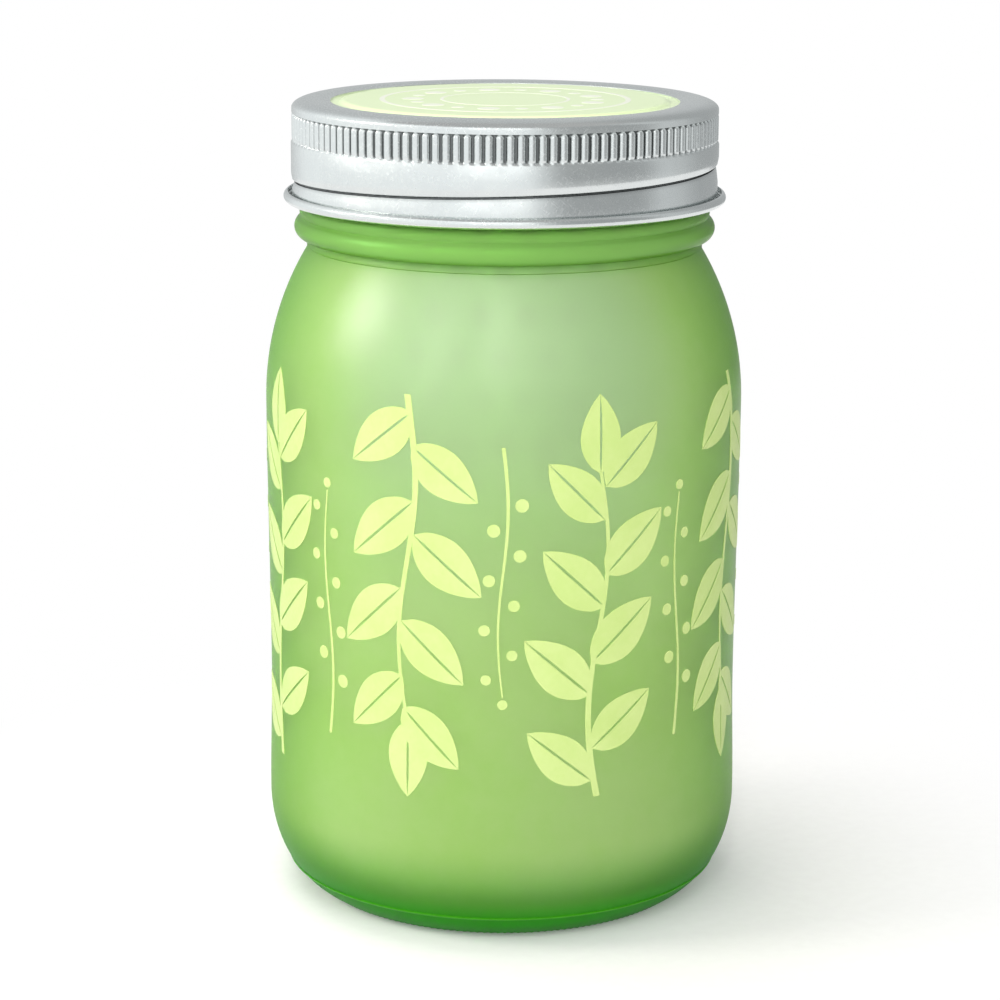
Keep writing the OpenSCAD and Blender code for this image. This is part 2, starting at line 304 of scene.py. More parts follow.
class Sketch:
    """Adds and links the nodes of one material, group or world."""

    def __init__(self, tree: bpy.types.NodeTree) -> None:
        """Takes the node tree that it works on."""
        self.tree = tree

    def add(self, kind: str, values: dict | None = None, **settings: object) -> bpy.types.Node:
        """Adds a node.

        Args:
            kind: Type of the node, without its ShaderNode prefix.
            values: What each input holds or is linked to, by its name or number.
            **settings: Values of the node's properties.

        Returns:
            The new node.
        """
        node = self.tree.nodes.new(kind if kind.startswith("NodeGroup") else "ShaderNode" + kind)
        for key, value in settings.items():
            setattr(node, key, value)
        for key, value in (values or {}).items():
            if isinstance(value, bpy.types.NodeSocket):
                self.tree.links.new(value, node.inputs[key])
            else:
                node.inputs[key].default_value = value
        return node

    def mix(self, share: object, low: object, high: object) -> bpy.types.NodeSocket:
        """Returns the mix of two colours, low where share is 0 and high where it is 1."""
        node = self.add("Mix", {0: share, 6: low, 7: high}, data_type="RGBA")
        return node.outputs[2]

    def math(self, operation: str, first: object, second: object = 0.0) -> bpy.types.NodeSocket:
        """Returns the result of a calculation on one or two values."""
        return self.add("Math", {0: first, 1: second}, operation=operation).outputs[0]

    def span(self, value: object, low: float, high: float, to: Point = (0, 1)) -> bpy.types.NodeSocket:
        """Returns a smooth step between two values of to, as value goes from low to high."""
        values = {"Value": value, "From Min": low, "From Max": high, "To Min": to[0], "To Max": to[1]}
        return self.add("MapRange", values, interpolation_type="SMOOTHSTEP").outputs[0]

    def noise(self, place: object, scale: float, detail: float = 2.0) -> bpy.types.NodeSocket:
        """Returns a noise of about 0.5, at a scale per metre."""
        return self.add("TexNoise", {"Vector": place, "Scale": scale, "Detail": detail}).outputs[0]

    def place(self) -> bpy.types.NodeSocket:
        """Returns the Object coordinates, in metres."""
        return self.add("TexCoord").outputs["Object"]

    def height(self, place: bpy.types.NodeSocket) -> bpy.types.NodeSocket:
        """Returns the height of a place."""
        return self.add("SeparateXYZ", {0: place}).outputs[2]

    def level(self, place: bpy.types.NodeSocket) -> bpy.types.NodeSocket:
        """Returns a place brought down to the floor."""
        return self.add("VectorMath", {0: place, 1: (1, 1, 0)}, operation="MULTIPLY").outputs[0]

    def length(self, vector: bpy.types.NodeSocket) -> bpy.types.NodeSocket:
        """Returns the length of a vector."""
        return self.add("VectorMath", {0: vector}, operation="LENGTH").outputs["Value"]


def new_group(name: str, inputs: dict[str, str], outputs: dict[str, str]) -> tuple[Sketch, dict, dict]:
    """Starts a shader node group.

    Args:
        name: Name of the group.
        inputs: Type of each input socket, by its name.
        outputs: Type of each output socket, by its name.

    Returns:
        A sketch on the group, the sockets of its inputs, and the sockets of its outputs.
    """
    group = bpy.data.node_groups.new(name, "ShaderNodeTree")
    for label, kind in inputs.items():
        group.interface.new_socket(label, in_out="INPUT", socket_type="NodeSocket" + kind)
    for label, kind in outputs.items():
        group.interface.new_socket(label, in_out="OUTPUT", socket_type="NodeSocket" + kind)
    sketch = Sketch(group)
    return sketch, sketch.add("NodeGroupInput").outputs, sketch.add("NodeGroupOutput").inputs


SCRATCH_TURNS_DEG = (38, -47)
SCRATCH_STRETCH = (1, 1, 6)
SCRATCH_SPAN = (0.52, 0.72)


def build_scratches() -> bpy.types.NodeTree:
    """Builds the group that draws fine crossing scratches, as on handled sheet metal.

    Returns:
        The group: it takes a place and a scale, and gives a mask of the scratches.
    """
    sketch, given, wanted = new_group(
        "fine_scratches", {"Vector": "Vector", "Scale": "Float"}, {"Mask": "Float"}
    )
    layers = []
    for turn_deg in SCRATCH_TURNS_DEG:
        turn = (0, math.radians(turn_deg), 0)
        values = {"Vector": given["Vector"], "Rotation": turn, "Scale": SCRATCH_STRETCH}
        turned = sketch.add("Mapping", values, vector_type="TEXTURE")
        grain = sketch.add("TexNoise", {"Vector": turned.outputs[0], "Scale": given["Scale"], "Detail": 3.0})
        layers.append(sketch.span(grain.outputs[0], *SCRATCH_SPAN))
    both = sketch.math("MAXIMUM", layers[0], layers[1])
    sketch.tree.links.new(both, wanted["Mask"])
    return sketch.tree


GRAIN_FINER = 9.0
GRAIN_WEIGHT = 0.35
MOTTLE_SPAN = (0.45, 0.9)


def build_mottle() -> bpy.types.NodeTree:
    """Builds the group that blends two colours in soft patches with a fine grain.

    Returns:
        The group: it takes a place, a scale and two colours, and gives a colour and its mask.
    """
    sketch, given, wanted = new_group(
        "soft_mottle",
        {"Vector": "Vector", "Scale": "Float", "Low": "Color", "High": "Color"},
        {"Color": "Color", "Mask": "Float"},
    )
    patches = sketch.add("TexNoise", {"Vector": given["Vector"], "Scale": given["Scale"], "Detail": 4.0})
    finer = sketch.math("MULTIPLY", given["Scale"], GRAIN_FINER)
    grain = sketch.add("TexNoise", {"Vector": given["Vector"], "Scale": finer, "Detail": 3.0})
    weight = sketch.math("MULTIPLY", grain.outputs[0], GRAIN_WEIGHT)
    mask = sketch.span(sketch.math("ADD", patches.outputs[0], weight), *MOTTLE_SPAN)
    sketch.tree.links.new(mask, wanted["Mask"])
    sketch.tree.links.new(sketch.mix(mask, given["Low"], given["High"]), wanted["Color"])
    return sketch.tree


@dataclass(frozen=True)
class Finish:
    """A material that is being made, with what its maker works on."""

    material: bpy.types.Material
    sketch: Sketch
    shader: bpy.types.Node
    place: bpy.types.NodeSocket

    def feed(self, socket: str, value: bpy.types.NodeSocket) -> None:
        """Links a value to a socket of the shader."""
        self.sketch.tree.links.new(value, self.shader.inputs[socket])


@dataclass(frozen=True)
class Workshop:
    """The node groups that the finishes share."""

    scratches: bpy.types.NodeTree
    mottle: bpy.types.NodeTree

    def start(self, name: str, **sockets: float) -> "Finish":
        """Starts a material on a Principled shader.

        Args:
            name: Name of the material.
            **sockets: Plain values of its sockets, with _ for a space.

        Returns:
            The material, with a sketch on it, its shader and its Object coordinates.
        """
        material = bpy.data.materials.new(name)
        material.use_nodes = True
        sketch = Sketch(material.node_tree)
        shader = material.node_tree.nodes["Principled BSDF"]
        for key, value in sockets.items():
            shader.inputs[key.replace("_", " ")].default_value = value
        return Finish(material, sketch, shader, sketch.place())

    def mottled(self, finish: Finish, scale: float, low: tuple, high: tuple) -> bpy.types.NodeSocket:
        """Places the mottle group in a finish.

        Args:
            finish: The material in the making.
            scale: Scale of the patches, per metre.
            low: Colour where the mask is 0.
            high: Colour where the mask is 1.

        Returns:
            The mottled colour.
        """
        node = finish.sketch.add("Group", node_tree=self.mottle)
        finish.sketch.tree.links.new(finish.place, node.inputs["Vector"])
        node.inputs["Scale"].default_value = scale
        node.inputs["Low"].default_value = low
        node.inputs["High"].default_value = high
        return node.outputs["Color"]

    def scratched(self, finish: Finish, scale: float) -> bpy.types.NodeSocket:
        """Places the scratch group in a finish, at a scale per metre, and returns its mask."""
        node = finish.sketch.add("Group", node_tree=self.scratches)
        finish.sketch.tree.links.new(finish.place, node.inputs["Vector"])
        node.inputs["Scale"].default_value = scale
        return node.outputs["Mask"]

    def bump(self, finish: Finish, height: bpy.types.NodeSocket, strength: float, depth: float) -> None:
        """Feeds a height into the shader's normal.

        Args:
            finish: The material in the making.
            height: The height, from 0 to 1.
            strength: Strength of the bump.
            depth: Depth that a height of 1 stands for.
        """
        node = finish.sketch.add("Bump", {"Height": height, "Strength": strength, "Distance": depth})
        finish.feed("Normal", node.outputs[0])


@dataclass(frozen=True)
class FrostedGlass:
    """Translucent green glass with a frosted coat, deeper in colour at its edges and in the thick heel, with
    a painted glow on its upper panel and a painted highlight on its heel seam.
    """

    name: str = "green_frosted_glass"
    panel: tuple = (0.50, 0.82, 0.21, 1)
    panel_pale: tuple = (0.57, 0.85, 0.29, 1)
    # upper is painted light: a paler colour on the upper panel, between the heights upper_z, where it faces
    # the viewer (glow_side).
    upper: tuple = (0.60, 0.86, 0.45, 1)
    upper_z: Point = (45 * MM, 104 * MM)
    glow_side: Point = (0.42, 0.08)
    neck: tuple = (0.38, 0.76, 0.19, 1)
    neck_z: Point = (112.5 * MM, 116.5 * MM)
    edge: tuple = (0.17, 0.48, 0.022, 1)
    edge_side: Point = (0.25, 0.90)
    heel: tuple = (0.015, 0.36, 0.0008, 1)
    heel_z: Point = (19 * MM, 3 * MM)
    # seam is a painted highlight: a paler green along the mould seam ridge, between the heights seam_z.
    seam: tuple = (0.10, 0.62, 0.02, 1)
    seam_z: Point = (5.0 * MM, 5.2 * MM)
    seam_soft: float = 0.25 * MM
    gloss: Point = (0.0, 0.45)
    gloss_z: Point = (10 * MM, 75 * MM)
    edge_gloss: Point = (1.0, 0.1)
    deep_gloss: tuple = (0.12, 0.60, 0.03, 1)
    cloud_scale: float = 35.0
    frost_scale: float = 2600.0
    frost_relief: float = 0.10
    frost_depth: float = 0.1 * MM
    rough: Point = (0.28, 0.36)
    clear: float = 0.60
    bend: float = 1.42

    def material(self, shop: Workshop) -> bpy.types.Material:
        """Builds the material with the groups of shop."""
        finish = shop.start(self.name, IOR=self.bend, Transmission_Weight=self.clear)
        sketch = finish.sketch
        height = sketch.height(finish.place)
        facing = sketch.add("LayerWeight", {"Blend": 0.5}).outputs["Facing"]
        raised = sketch.span(height, *self.upper_z)
        thick = sketch.span(height, *self.neck_z)
        deep = sketch.span(height, *self.heel_z)
        slanting = sketch.span(facing, *self.edge_side)
        # Painted glow: paler where the upper panel faces the viewer.
        pale = sketch.math("MULTIPLY", raised, sketch.span(facing, *self.glow_side))
        cloud = shop.mottled(finish, self.cloud_scale, self.panel, self.panel_pale)
        front = sketch.mix(thick, sketch.mix(pale, cloud, self.upper), self.neck)
        wall = sketch.mix(deep, sketch.mix(slanting, front, self.edge), self.heel)
        # The mould seam gets a painted highlight.
        finish.feed("Base Color", sketch.mix(self.seam_highlight_mask(sketch, height), wall, self.seam))
        gloss = sketch.span(height, *self.gloss_z, self.gloss)
        calm = sketch.span(facing, *self.edge_side, self.edge_gloss)
        finish.feed("Specular IOR Level", sketch.math("MULTIPLY", gloss, calm))
        dyed = sketch.math("MAXIMUM", sketch.math("MAXIMUM", deep, thick), slanting)
        finish.feed("Specular Tint", sketch.mix(dyed, WHITE, self.deep_gloss))
        frost = sketch.noise(finish.place, self.frost_scale, 3.0)
        finish.feed("Roughness", sketch.span(frost, *NOISE_SPAN, self.rough))
        shop.bump(finish, frost, self.frost_relief, self.frost_depth)
        return finish.material

    def seam_highlight_mask(self, sketch: Sketch, height: bpy.types.NodeSocket) -> bpy.types.NodeSocket:
        """Returns the mask of the painted highlight, a paler green, along the mould seam round the heel.

        Args:
            sketch: Sketch of the glass's material.
            height: Height above the floor.

        Returns:
            1 on the seam and 0 elsewhere, with soft edges.
        """
        over = sketch.span(height, self.seam_z[0] - self.seam_soft, self.seam_z[0])
        under = sketch.span(height, self.seam_z[1] + self.seam_soft, self.seam_z[1])
        return sketch.math("MULTIPLY", over, under)


@dataclass(frozen=True)
class SheetMetal:
    """Thin rolled sheet: tinplate or stainless steel, with fine scratches, and painted shade in its pressed
    grooves where groove_r is set.
    """

    name: str
    low: tuple
    high: tuple
    rough: Point
    scratch_scale: float = 4200.0
    scratch_share: float = 0.7
    relief: float = 0.16
    depth: float = 0.03 * MM
    wear_span: Point = (0.1, 1.0)
    cloud_scale: float = 60.0
    speck_scale: float = 5200.0
    # groove_shade is painted shade: a dark colour for the pressed grooves, between the radii groove_r and
    # the heights groove_z.
    groove_shade: tuple = (0.16, 0.17, 0.17, 1)
    groove_r: Point = (0, 0)
    groove_z: Point = (0, 0)

    def material(self, shop: Workshop) -> bpy.types.Material:
        """Builds the material with the groups of shop."""
        finish = shop.start(self.name, Metallic=1.0)
        sketch = finish.sketch
        unshaded = shop.mottled(finish, self.cloud_scale, self.low, self.high)
        # Where groove_r is set, painted shade darkens the pressed grooves.
        finish.feed("Base Color", self.shade_grooves(finish, unshaded) if self.groove_r[0] else unshaded)
        lines = sketch.math("MULTIPLY", shop.scratched(finish, self.scratch_scale), self.scratch_share)
        speck = sketch.math("MULTIPLY", sketch.noise(finish.place, self.speck_scale), 1 - self.scratch_share)
        wear = sketch.math("ADD", lines, speck)
        finish.feed("Roughness", sketch.span(wear, *self.wear_span, self.rough))
        shop.bump(finish, wear, self.relief, self.depth)
        return finish.material

    def shade_grooves(self, finish: Finish, unshaded: bpy.types.NodeSocket) -> bpy.types.NodeSocket:
        """Returns the sheet's colour with painted shade, a dark colour in the grooves that are pressed into
        its wall.

        Args:
            finish: The material in the making.
            unshaded: The sheet's own colour, without the painted shade.

        Returns:
            The colour with the painted shade.
        """
        sketch = finish.sketch
        radius = sketch.length(sketch.level(finish.place))
        height = sketch.height(finish.place)
        # Painted shade: full where the wall lies deepest inside, none at the outer radius.
        pressed = sketch.span(radius, self.groove_r[1], self.groove_r[0])
        above = sketch.math("GREATER_THAN", height, self.groove_z[0])
        below = sketch.math("LESS_THAN", height, self.groove_z[1])
        share = sketch.math("MULTIPLY", pressed, sketch.math("MULTIPLY", above, below))
        return sketch.mix(share, unshaded, self.groove_shade)


@dataclass(frozen=True)
class Printed:
    """Coated paper or enamel print in one soft colour."""

    name: str
    low: tuple
    high: tuple
    roughness: float
    coat: float
    scale: float = 120.0
    grain: float = 1800.0
    relief: float = 0.15
    depth: float = 0.05 * MM
    vary: Point = (-0.05, 0.08)
    coat_rough: float = 0.12

    def material(self, shop: Workshop) -> bpy.types.Material:
        """Builds the material with the groups of shop."""
        finish = shop.start(self.name, Coat_Weight=self.coat, Coat_Roughness=self.coat_rough)
        sketch = finish.sketch
        finish.feed("Base Color", shop.mottled(finish, self.scale, self.low, self.high))
        fibre = sketch.noise(finish.place, self.grain, 4.0)
        rough = (self.roughness + self.vary[0], self.roughness + self.vary[1])
        finish.feed("Roughness", sketch.span(fibre, *NOISE_SPAN, rough))
        shop.bump(finish, fibre, self.relief, self.depth)
        return finish.material


@dataclass(frozen=True)
class Fibrous:
    """Matt fibrous stuff: needled felt, sealing compound or coconut husk."""

    name: str
    low: tuple
    high: tuple
    scale: float
    depth: float
    sheen: float = 0.0
    strand: tuple = (1.0, 0.35, 1.0)
    finer: float = 12.0
    rough: Point = (0.78, 0.95)
    relief: float = 0.6

    def material(self, shop: Workshop) -> bpy.types.Material:
        """Builds the material with the groups of shop."""
        finish = shop.start(self.name, Sheen_Weight=self.sheen)
        sketch = finish.sketch
        finish.feed("Base Color", shop.mottled(finish, self.scale, self.low, self.high))
        strand = sketch.add("Mapping", {"Vector": finish.place, "Scale": self.strand})
        pile = sketch.noise(strand.outputs[0], self.scale * self.finer, 5.0)
        finish.feed("Roughness", sketch.span(pile, *NOISE_SPAN, self.rough))
        shop.bump(finish, pile, self.relief, self.depth)
        return finish.material


@dataclass
class JarGlass:
    """The glass jar, with its thread and its mould seams; the print on its panel is a piece of its own."""

    body_r: float
    height: float
    wall: float = 3.0 * MM
    floor: float = 4.2 * MM
    stand_r: float = 29.5 * MM
    stand_w: float = 4.5 * MM
    kick_h: float = 2.6 * MM
    heel_h: float = 17.2 * MM
    waist_z: float = 39 * MM
    waist_in: float = 0.38 * MM
    mouth_r: float = 30.15 * MM
    neck_wall: float = 3.25 * MM
    rim_round: float = 0.9 * MM
    bead_drop: float = 19.3 * MM
    bead_out: float = 2.65 * MM
    bead_half: float = 2.05 * MM
    lobe_out: float = 1.75 * MM
    lobe_half: float = 1.6 * MM
    lobe_rise: float = 2.65 * MM
    lobe_flat: float = 0.8
    bead_span: Point = (-90, 52)
    lobe_span: Point = (-28, 90)
    neck_gap: float = 0.6 * MM
    shoulder_r: float = 50 * MM
    shoulder_end_drop: float = 22.7 * MM
    shoulder_end_out: float = 0.3 * MM
    seam_z: float = 5.0 * MM
    seam_out: float = 0.22 * MM
    seam_half: float = 0.3 * MM
    seam_top: float = 0.6
    floor_crown: float = 0.6 * MM
    tooth_depth: float = 0.38 * MM
    tooth_h: float = 1.3 * MM
    tooth_low: float = 0.05 * MM
    thread_r: float = 35.1 * MM
    thread_half: float = 1.3 * MM
    thread_drop: float = 10.1 * MM
    thread_turns: float = 1.25
    thread_fade: float = 0.09
    thread_sink: float = 0.4 * MM
    thread_steps: int = 140
    pitch: float = 6.35 * MM
    columns: int = 360
    heel_steps: int = 48
    panel_steps: int = 30
    shoulder_steps: int = 34
    inner_steps: int = 20
    rim_steps: int = 6

    @property
    def neck_r(self) -> float:
        """Outside radius of the neck between the threads."""
        return self.mouth_r + self.neck_wall

    @property
    def shoulder_turn(self) -> float:
        """Angle that the shoulder curve turns in."""
        end_r = self.neck_r + self.shoulder_end_out
        return math.acos(1 - (self.body_r - end_r) / self.shoulder_r)

    @property
    def shoulder_z(self) -> float:
        """Height where the shoulder starts to curve in."""
        return self.height - self.shoulder_end_drop - self.shoulder_r * math.sin(self.shoulder_turn)

    @property
    def bead_z(self) -> float:
        """Height of the middle of the neck bead."""
        return self.height - self.bead_drop

    @property
    def inner_floor_z(self) -> float:
        """Height of the floor inside."""
        return self.kick_h + self.floor

    def surface_r(self, height: float) -> float:
        """Returns the outside radius of the label panel or the shoulder at a height."""
        if height > self.shoulder_z:
            rise = height - self.shoulder_z
            return self.body_r - self.shoulder_r + math.sqrt(self.shoulder_r**2 - rise**2)
        if height < self.waist_z:
            drawn = ease((height - self.heel_h) / (self.waist_z - self.heel_h))
        else:
            drawn = ease((self.shoulder_z - height) / (self.shoulder_z - self.waist_z))
        return self.body_r - self.waist_in * drawn

    def heel_r(self, height: float) -> float:
        """Returns the outside radius of the heel at a height."""
        turn = math.acos(1 - height / self.heel_h)
        return self.stand_r + (self.body_r - self.stand_r) * math.sin(turn)

    def panel_rows(self, shares: Sequence[float], inset: float) -> list[Point]:
        """Returns points of the label panel at shares of its height, inset from its outside."""
        rows = [self.heel_h + (self.shoulder_z - self.heel_h) * share for share in shares]
        return [(self.surface_r(z) - inset, z) for z in rows]

    def lobe(self, middle_z: float, half: float, out: float, span_deg: Point, steps: int) -> list[Point]:
        """Lays one rounded lobe of the neck bead.

        Args:
            middle_z: Height of its middle.
            half: Half its height.
            out: How far it stands out of the neck.
            span_deg: Angles of its first and last point, -90 at its foot and 90 at its top.
            steps: Number of straight steps between them.

        Returns:
            Its points, from the foot to the top.
        """
        points = []
        for i in range(steps + 1):
            turn = math.radians(span_deg[0] + (span_deg[1] - span_deg[0]) * i / steps)
            radius = self.neck_r + out * math.cos(turn) ** self.lobe_flat
            points.append((radius, middle_z + half * math.sin(turn)))
        return points

    def outside(self) -> list[Point]:
        """Returns the outside of the glass from its stand up to its rim."""
        heel = quarter((self.stand_r, 0), (self.body_r, self.heel_h), self.heel_steps)
        low = [point for point in heel if point[1] < self.seam_z - self.seam_half]
        high = [point for point in heel if point[1] > self.seam_z + self.seam_half]
        steps = ((-1.0, 0.0), (-self.seam_top, self.seam_out), (self.seam_top, self.seam_out), (1.0, 0.0))
        ridge = [
            (self.heel_r(self.seam_z + step * self.seam_half) + out, self.seam_z + step * self.seam_half)
            for step, out in steps
        ]
        panel = self.panel_rows([i / self.panel_steps for i in range(1, self.panel_steps + 1)], 0)
        centre = (self.body_r - self.shoulder_r, self.shoulder_z)
        shoulder = arc(centre, self.shoulder_r, 0, math.degrees(self.shoulder_turn), self.shoulder_steps)[1:]
        end_r, end_z = shoulder[-1]
        seam = [(end_r + self.seam_out, end_z + 0.15 * MM), (end_r - 0.05 * MM, end_z + 0.4 * MM)]
        upper_z = self.bead_z + self.lobe_rise
        bead = self.lobe(self.bead_z, self.bead_half, self.bead_out, self.bead_span, 20)
        bead += self.lobe(upper_z, self.lobe_half, self.lobe_out, self.lobe_span, 12)
        rim_z = self.height - self.rim_round
        neck = [(self.neck_r, upper_z + self.lobe_half + self.neck_gap), (self.neck_r, rim_z)]
        rim = arc((self.neck_r - self.rim_round, rim_z), self.rim_round, 15, 90, self.rim_steps)
        return low + ridge + high + panel + shoulder + seam + bead + neck + rim

    def inside(self) -> list[Point]:
        """Returns the inside of the glass from its rim down to the middle of its floor."""
        rim_centre = (self.mouth_r + self.rim_round, self.height - self.rim_round)
        rim = arc(rim_centre, self.rim_round, 90, 180, self.rim_steps)
        neck = [(self.mouth_r, self.bead_z - self.bead_half)]
        centre = (self.body_r - self.shoulder_r, self.shoulder_z)
        turn_deg = math.degrees(self.shoulder_turn)
        shoulder = arc(centre, self.shoulder_r - self.wall, turn_deg - 2, 0, self.inner_steps)
        panel = self.panel_rows([i / 12 for i in range(11, 1, -1)], self.wall)
        low = (self.stand_r - self.wall, self.inner_floor_z)
        high = (self.body_r - self.wall, self.heel_h + self.wall)
        heel = quarter(low, high, self.inner_steps)[-2::-1]
        return rim + neck + shoulder + panel + heel + [(0, self.inner_floor_z + self.floor_crown)]

    def underside(self) -> list[Point]:
        """Returns the hollow underside, from the axis out to the stand."""
        corner = (self.stand_r - self.stand_w - self.kick_h, 0)
        return [(0, self.kick_h)] + arc(corner, self.kick_h, 90, 0, 8)

    def roughen_stand(self, point: Vector) -> Vector:
        """Rule that presses the small teeth of the stippled stand into the lowest edge."""
        radius = math.hypot(point.x, point.y)
        if not (self.tooth_low < point.z < self.tooth_h) or radius < self.stand_r:
            return point
        column = round(math.atan2(point.y, point.x) / math.tau * self.columns)
        if column % 2:
            point.z -= self.tooth_depth * point.z / self.tooth_h
            point.xy = point.xy * ((radius - self.tooth_depth) / radius)
        return point

    def thread(self) -> bpy.types.Object:
        """Winds the thread ridge round the neck, with ends that run out into it."""
        deselect()
        bpy.ops.mesh.primitive_circle_add(vertices=16, radius=self.thread_half, location=(0, 0, 0))
        ridge = bpy.context.object
        start_z = self.height - self.thread_drop
        out = self.thread_r - self.neck_r

        def section(point: Vector) -> Vector:
            """Rule that stands the ring up beside the neck, flattened to the ridge's height."""
            return Vector((self.neck_r + point.x / self.thread_half * out, 0, start_z + point.y))

        reshape(ridge, section)
        turn = self.thread_turns * math.tau
        rise = self.pitch * self.thread_turns
        steps = self.thread_steps
        add_modifier(ridge, "SCREW", angle=turn, screw_offset=rise, steps=steps, render_steps=steps)

        def run_out(point: Vector) -> Vector:
            """Rule that turns the ridge to its place and sinks both of its ends into the neck."""
            radius = math.hypot(point.x, point.y)
            along = (point.z - start_z) / rise
            end = ease(min(along, 1 - along) / self.thread_fade)
            sunk = self.neck_r + (radius - self.neck_r) * end - (1 - end) * self.thread_sink
            point.xy = point.xy * (sunk / radius)
            return point

        reshape(ridge, run_out)
        clean_mesh(ridge)
        return ridge

    def build(self, shop: Workshop) -> bpy.types.Object:
        """Builds and dresses the glass.

        Args:
            shop: The groups that its finish uses.

        Returns:
            The glass.
        """
        profile = self.underside() + self.outside() + self.inside()
        glass = lathe("glass_jar", profile, self.columns)
        reshape(glass, self.roughen_stand)
        glass = join([glass, self.thread()], "glass_jar")
        smooth(glass, 50)
        return dress(glass, Body.JAR, Slot.GLASS, FrostedGlass().material(shop), ["jar"])


@dataclass
class PanelPrint:
    """The pale print round the panel: upright sprigs of plain split leaves, and seed stalks."""

    jar: JarGlass
    low_z: float = 27 * MM
    high_z: float = 95 * MM
    sprigs: int = 8
    pairs: int = 4
    leaf_l: float = 15.5 * MM
    leaf_w: float = 8.4 * MM
    leaf_rows: int = 12
    leaf_tip: float = 0.85
    leaf_round: float = 0.8
    first_leaf: float = 0.10
    leaf_run: float = 0.80
    leaf_shift: float = 0.05
    leaf_shrink: float = 0.22
    widest: float = 0.45
    open_deg: float = 52
    close_deg: float = 8
    top_leaf: float = 0.85
    vein: float = 0.45 * MM
    stem_w: float = 1.2 * MM
    stem_taper: float = 0.55
    stem_rows: int = 28
    sprig_bow: float = 1.6 * MM
    stalk_bow: float = 0.8 * MM
    stalk_share: float = 0.62
    stalk_slim: float = 0.55
    stalk_inset: float = 8 * MM
    seeds: int = 9
    seed_r: float = 1.15 * MM
    seed_out: float = 2.3 * MM
    seed_up: float = 1.2 * MM
    first_seed: float = 0.2
    film_t: float = 0.07 * MM
    film_sunk: float = 0.005 * MM

    def flat_leaf(self) -> bpy.types.Object:
        """Models one flat leaf along +X from the origin, split along its vein."""
        deselect()
        bpy.ops.mesh.primitive_grid_add(x_subdivisions=self.leaf_rows, y_subdivisions=3, size=1)
        half = bpy.context.object

        def almond(point: Vector) -> Vector:
            """Rule that draws the grid to one half of an almond shape."""
            along, across = point.x + 0.5, point.y + 0.5
            round_off = math.sin(math.pi * along**self.leaf_tip) if 0 < along < 1 else 0
            width = self.leaf_w / 2 * round_off**self.leaf_round
            gap = self.vein / 2 * min(1, 4 * (1 - along), 6 * along)
            return Vector((along * self.leaf_l, gap + max(width - gap, 0) * across, 0))

        reshape(half, almond)
        other = copy_piece(half)
        reshape(other, lambda point: Vector((point.x, -point.y, 0)))
        leaf = join([half, other], "leaf_pattern")
        clean_mesh(leaf)
        return leaf

    def flat_strip(self, length: float, width: float, bow: float) -> bpy.types.Object:
        """Models a flat stem along +Y from the origin, with a gentle double bow."""
        deselect()
        bpy.ops.mesh.primitive_grid_add(x_subdivisions=1, y_subdivisions=self.stem_rows, size=1)
        stem = bpy.context.object

        def shape(point: Vector) -> Vector:
            """Rule that tapers and bows the strip."""
            along = point.y + 0.5
            taper = width * (1 - self.stem_taper * along)
            return Vector((point.x * taper + bow * math.sin(math.tau * along), along * length, 0))

        reshape(stem, shape)
        return stem

    def put(self, piece: bpy.types.Object, spot: Point, turn: float, size: float) -> bpy.types.Object:
        """Copies a flat motif to a spot of the flat print, turned and sized."""
        twin = copy_piece(piece)
        moved = Matrix.Translation((spot[0], spot[1], 0))
        twin.data.transform(moved @ Matrix.Rotation(turn, 4, "Z") @ Matrix.Scale(size, 4))
        return twin

    def sprig(self, leaf: bpy.types.Object, bow: float) -> list[bpy.types.Object]:
        """Lays out one upright sprig: a stem, its pairs of leaves and a top leaf."""
        length = (self.high_z - self.low_z) - self.leaf_l * 0.8
        parts = [self.flat_strip(length, self.stem_w, bow)]
        for i in range(self.pairs):
            along = self.first_leaf + self.leaf_run * i / (self.pairs - 1)
            centre = bow * math.sin(math.tau * along)
            size = 1.0 - self.leaf_shrink * abs(along - self.widest)
            lean = math.radians(self.open_deg - self.close_deg * along)
            for side in (-1, 1):
                spot = (centre, (along + self.leaf_shift * side) * length)
                parts.append(self.put(leaf, spot, math.pi / 2 - side * lean, size))
        parts.append(self.put(leaf, (0, length * 0.99), math.pi / 2, self.top_leaf))
        return parts

    def seed_stalk(self, bow: float) -> list[bpy.types.Object]:
        """Lays out a thin stalk with round seeds on short stems."""
        length = (self.high_z - self.low_z) * self.stalk_share
        parts = [self.flat_strip(length, self.stem_w * self.stalk_slim, bow)]
        deselect()
        bpy.ops.mesh.primitive_circle_add(vertices=18, radius=self.seed_r, fill_type="NGON")
        seed = bpy.context.object
        last = self.seeds - 1
        for i in range(self.seeds):
            along = self.first_seed + (1 - self.first_seed) * i / last
            side = (-1) ** i if i < last else 0
            centre = bow * math.sin(math.tau * along)
            spot = (centre + side * self.seed_out, along * length + self.seed_up)
            parts.append(self.put(seed, spot, 0, 1.05 - 0.3 * along))
        remove(seed)
        return parts

    def wrap(self, piece: bpy.types.Object, angle: float, base_z: float, flip: int) -> None:
        """Lays a flat motif on the glass.

        Args:
            piece: Motif in the flat print, X along the girth and Y up.
            angle: Where its origin goes round the axis, from the front towards +X.
            base_z: Height of its origin.
            flip: 1 for upright, -1 for hanging.
        """

        def rule(point: Vector) -> Vector:
            """Rule that wraps a point round the axis."""
            height = base_z + flip * point.y
            radius = self.jar.surface_r(height) - self.film_sunk
            turn = angle + point.x / self.jar.body_r
            return Vector((radius * math.sin(turn), -radius * math.cos(turn), height))

        reshape(piece, rule)

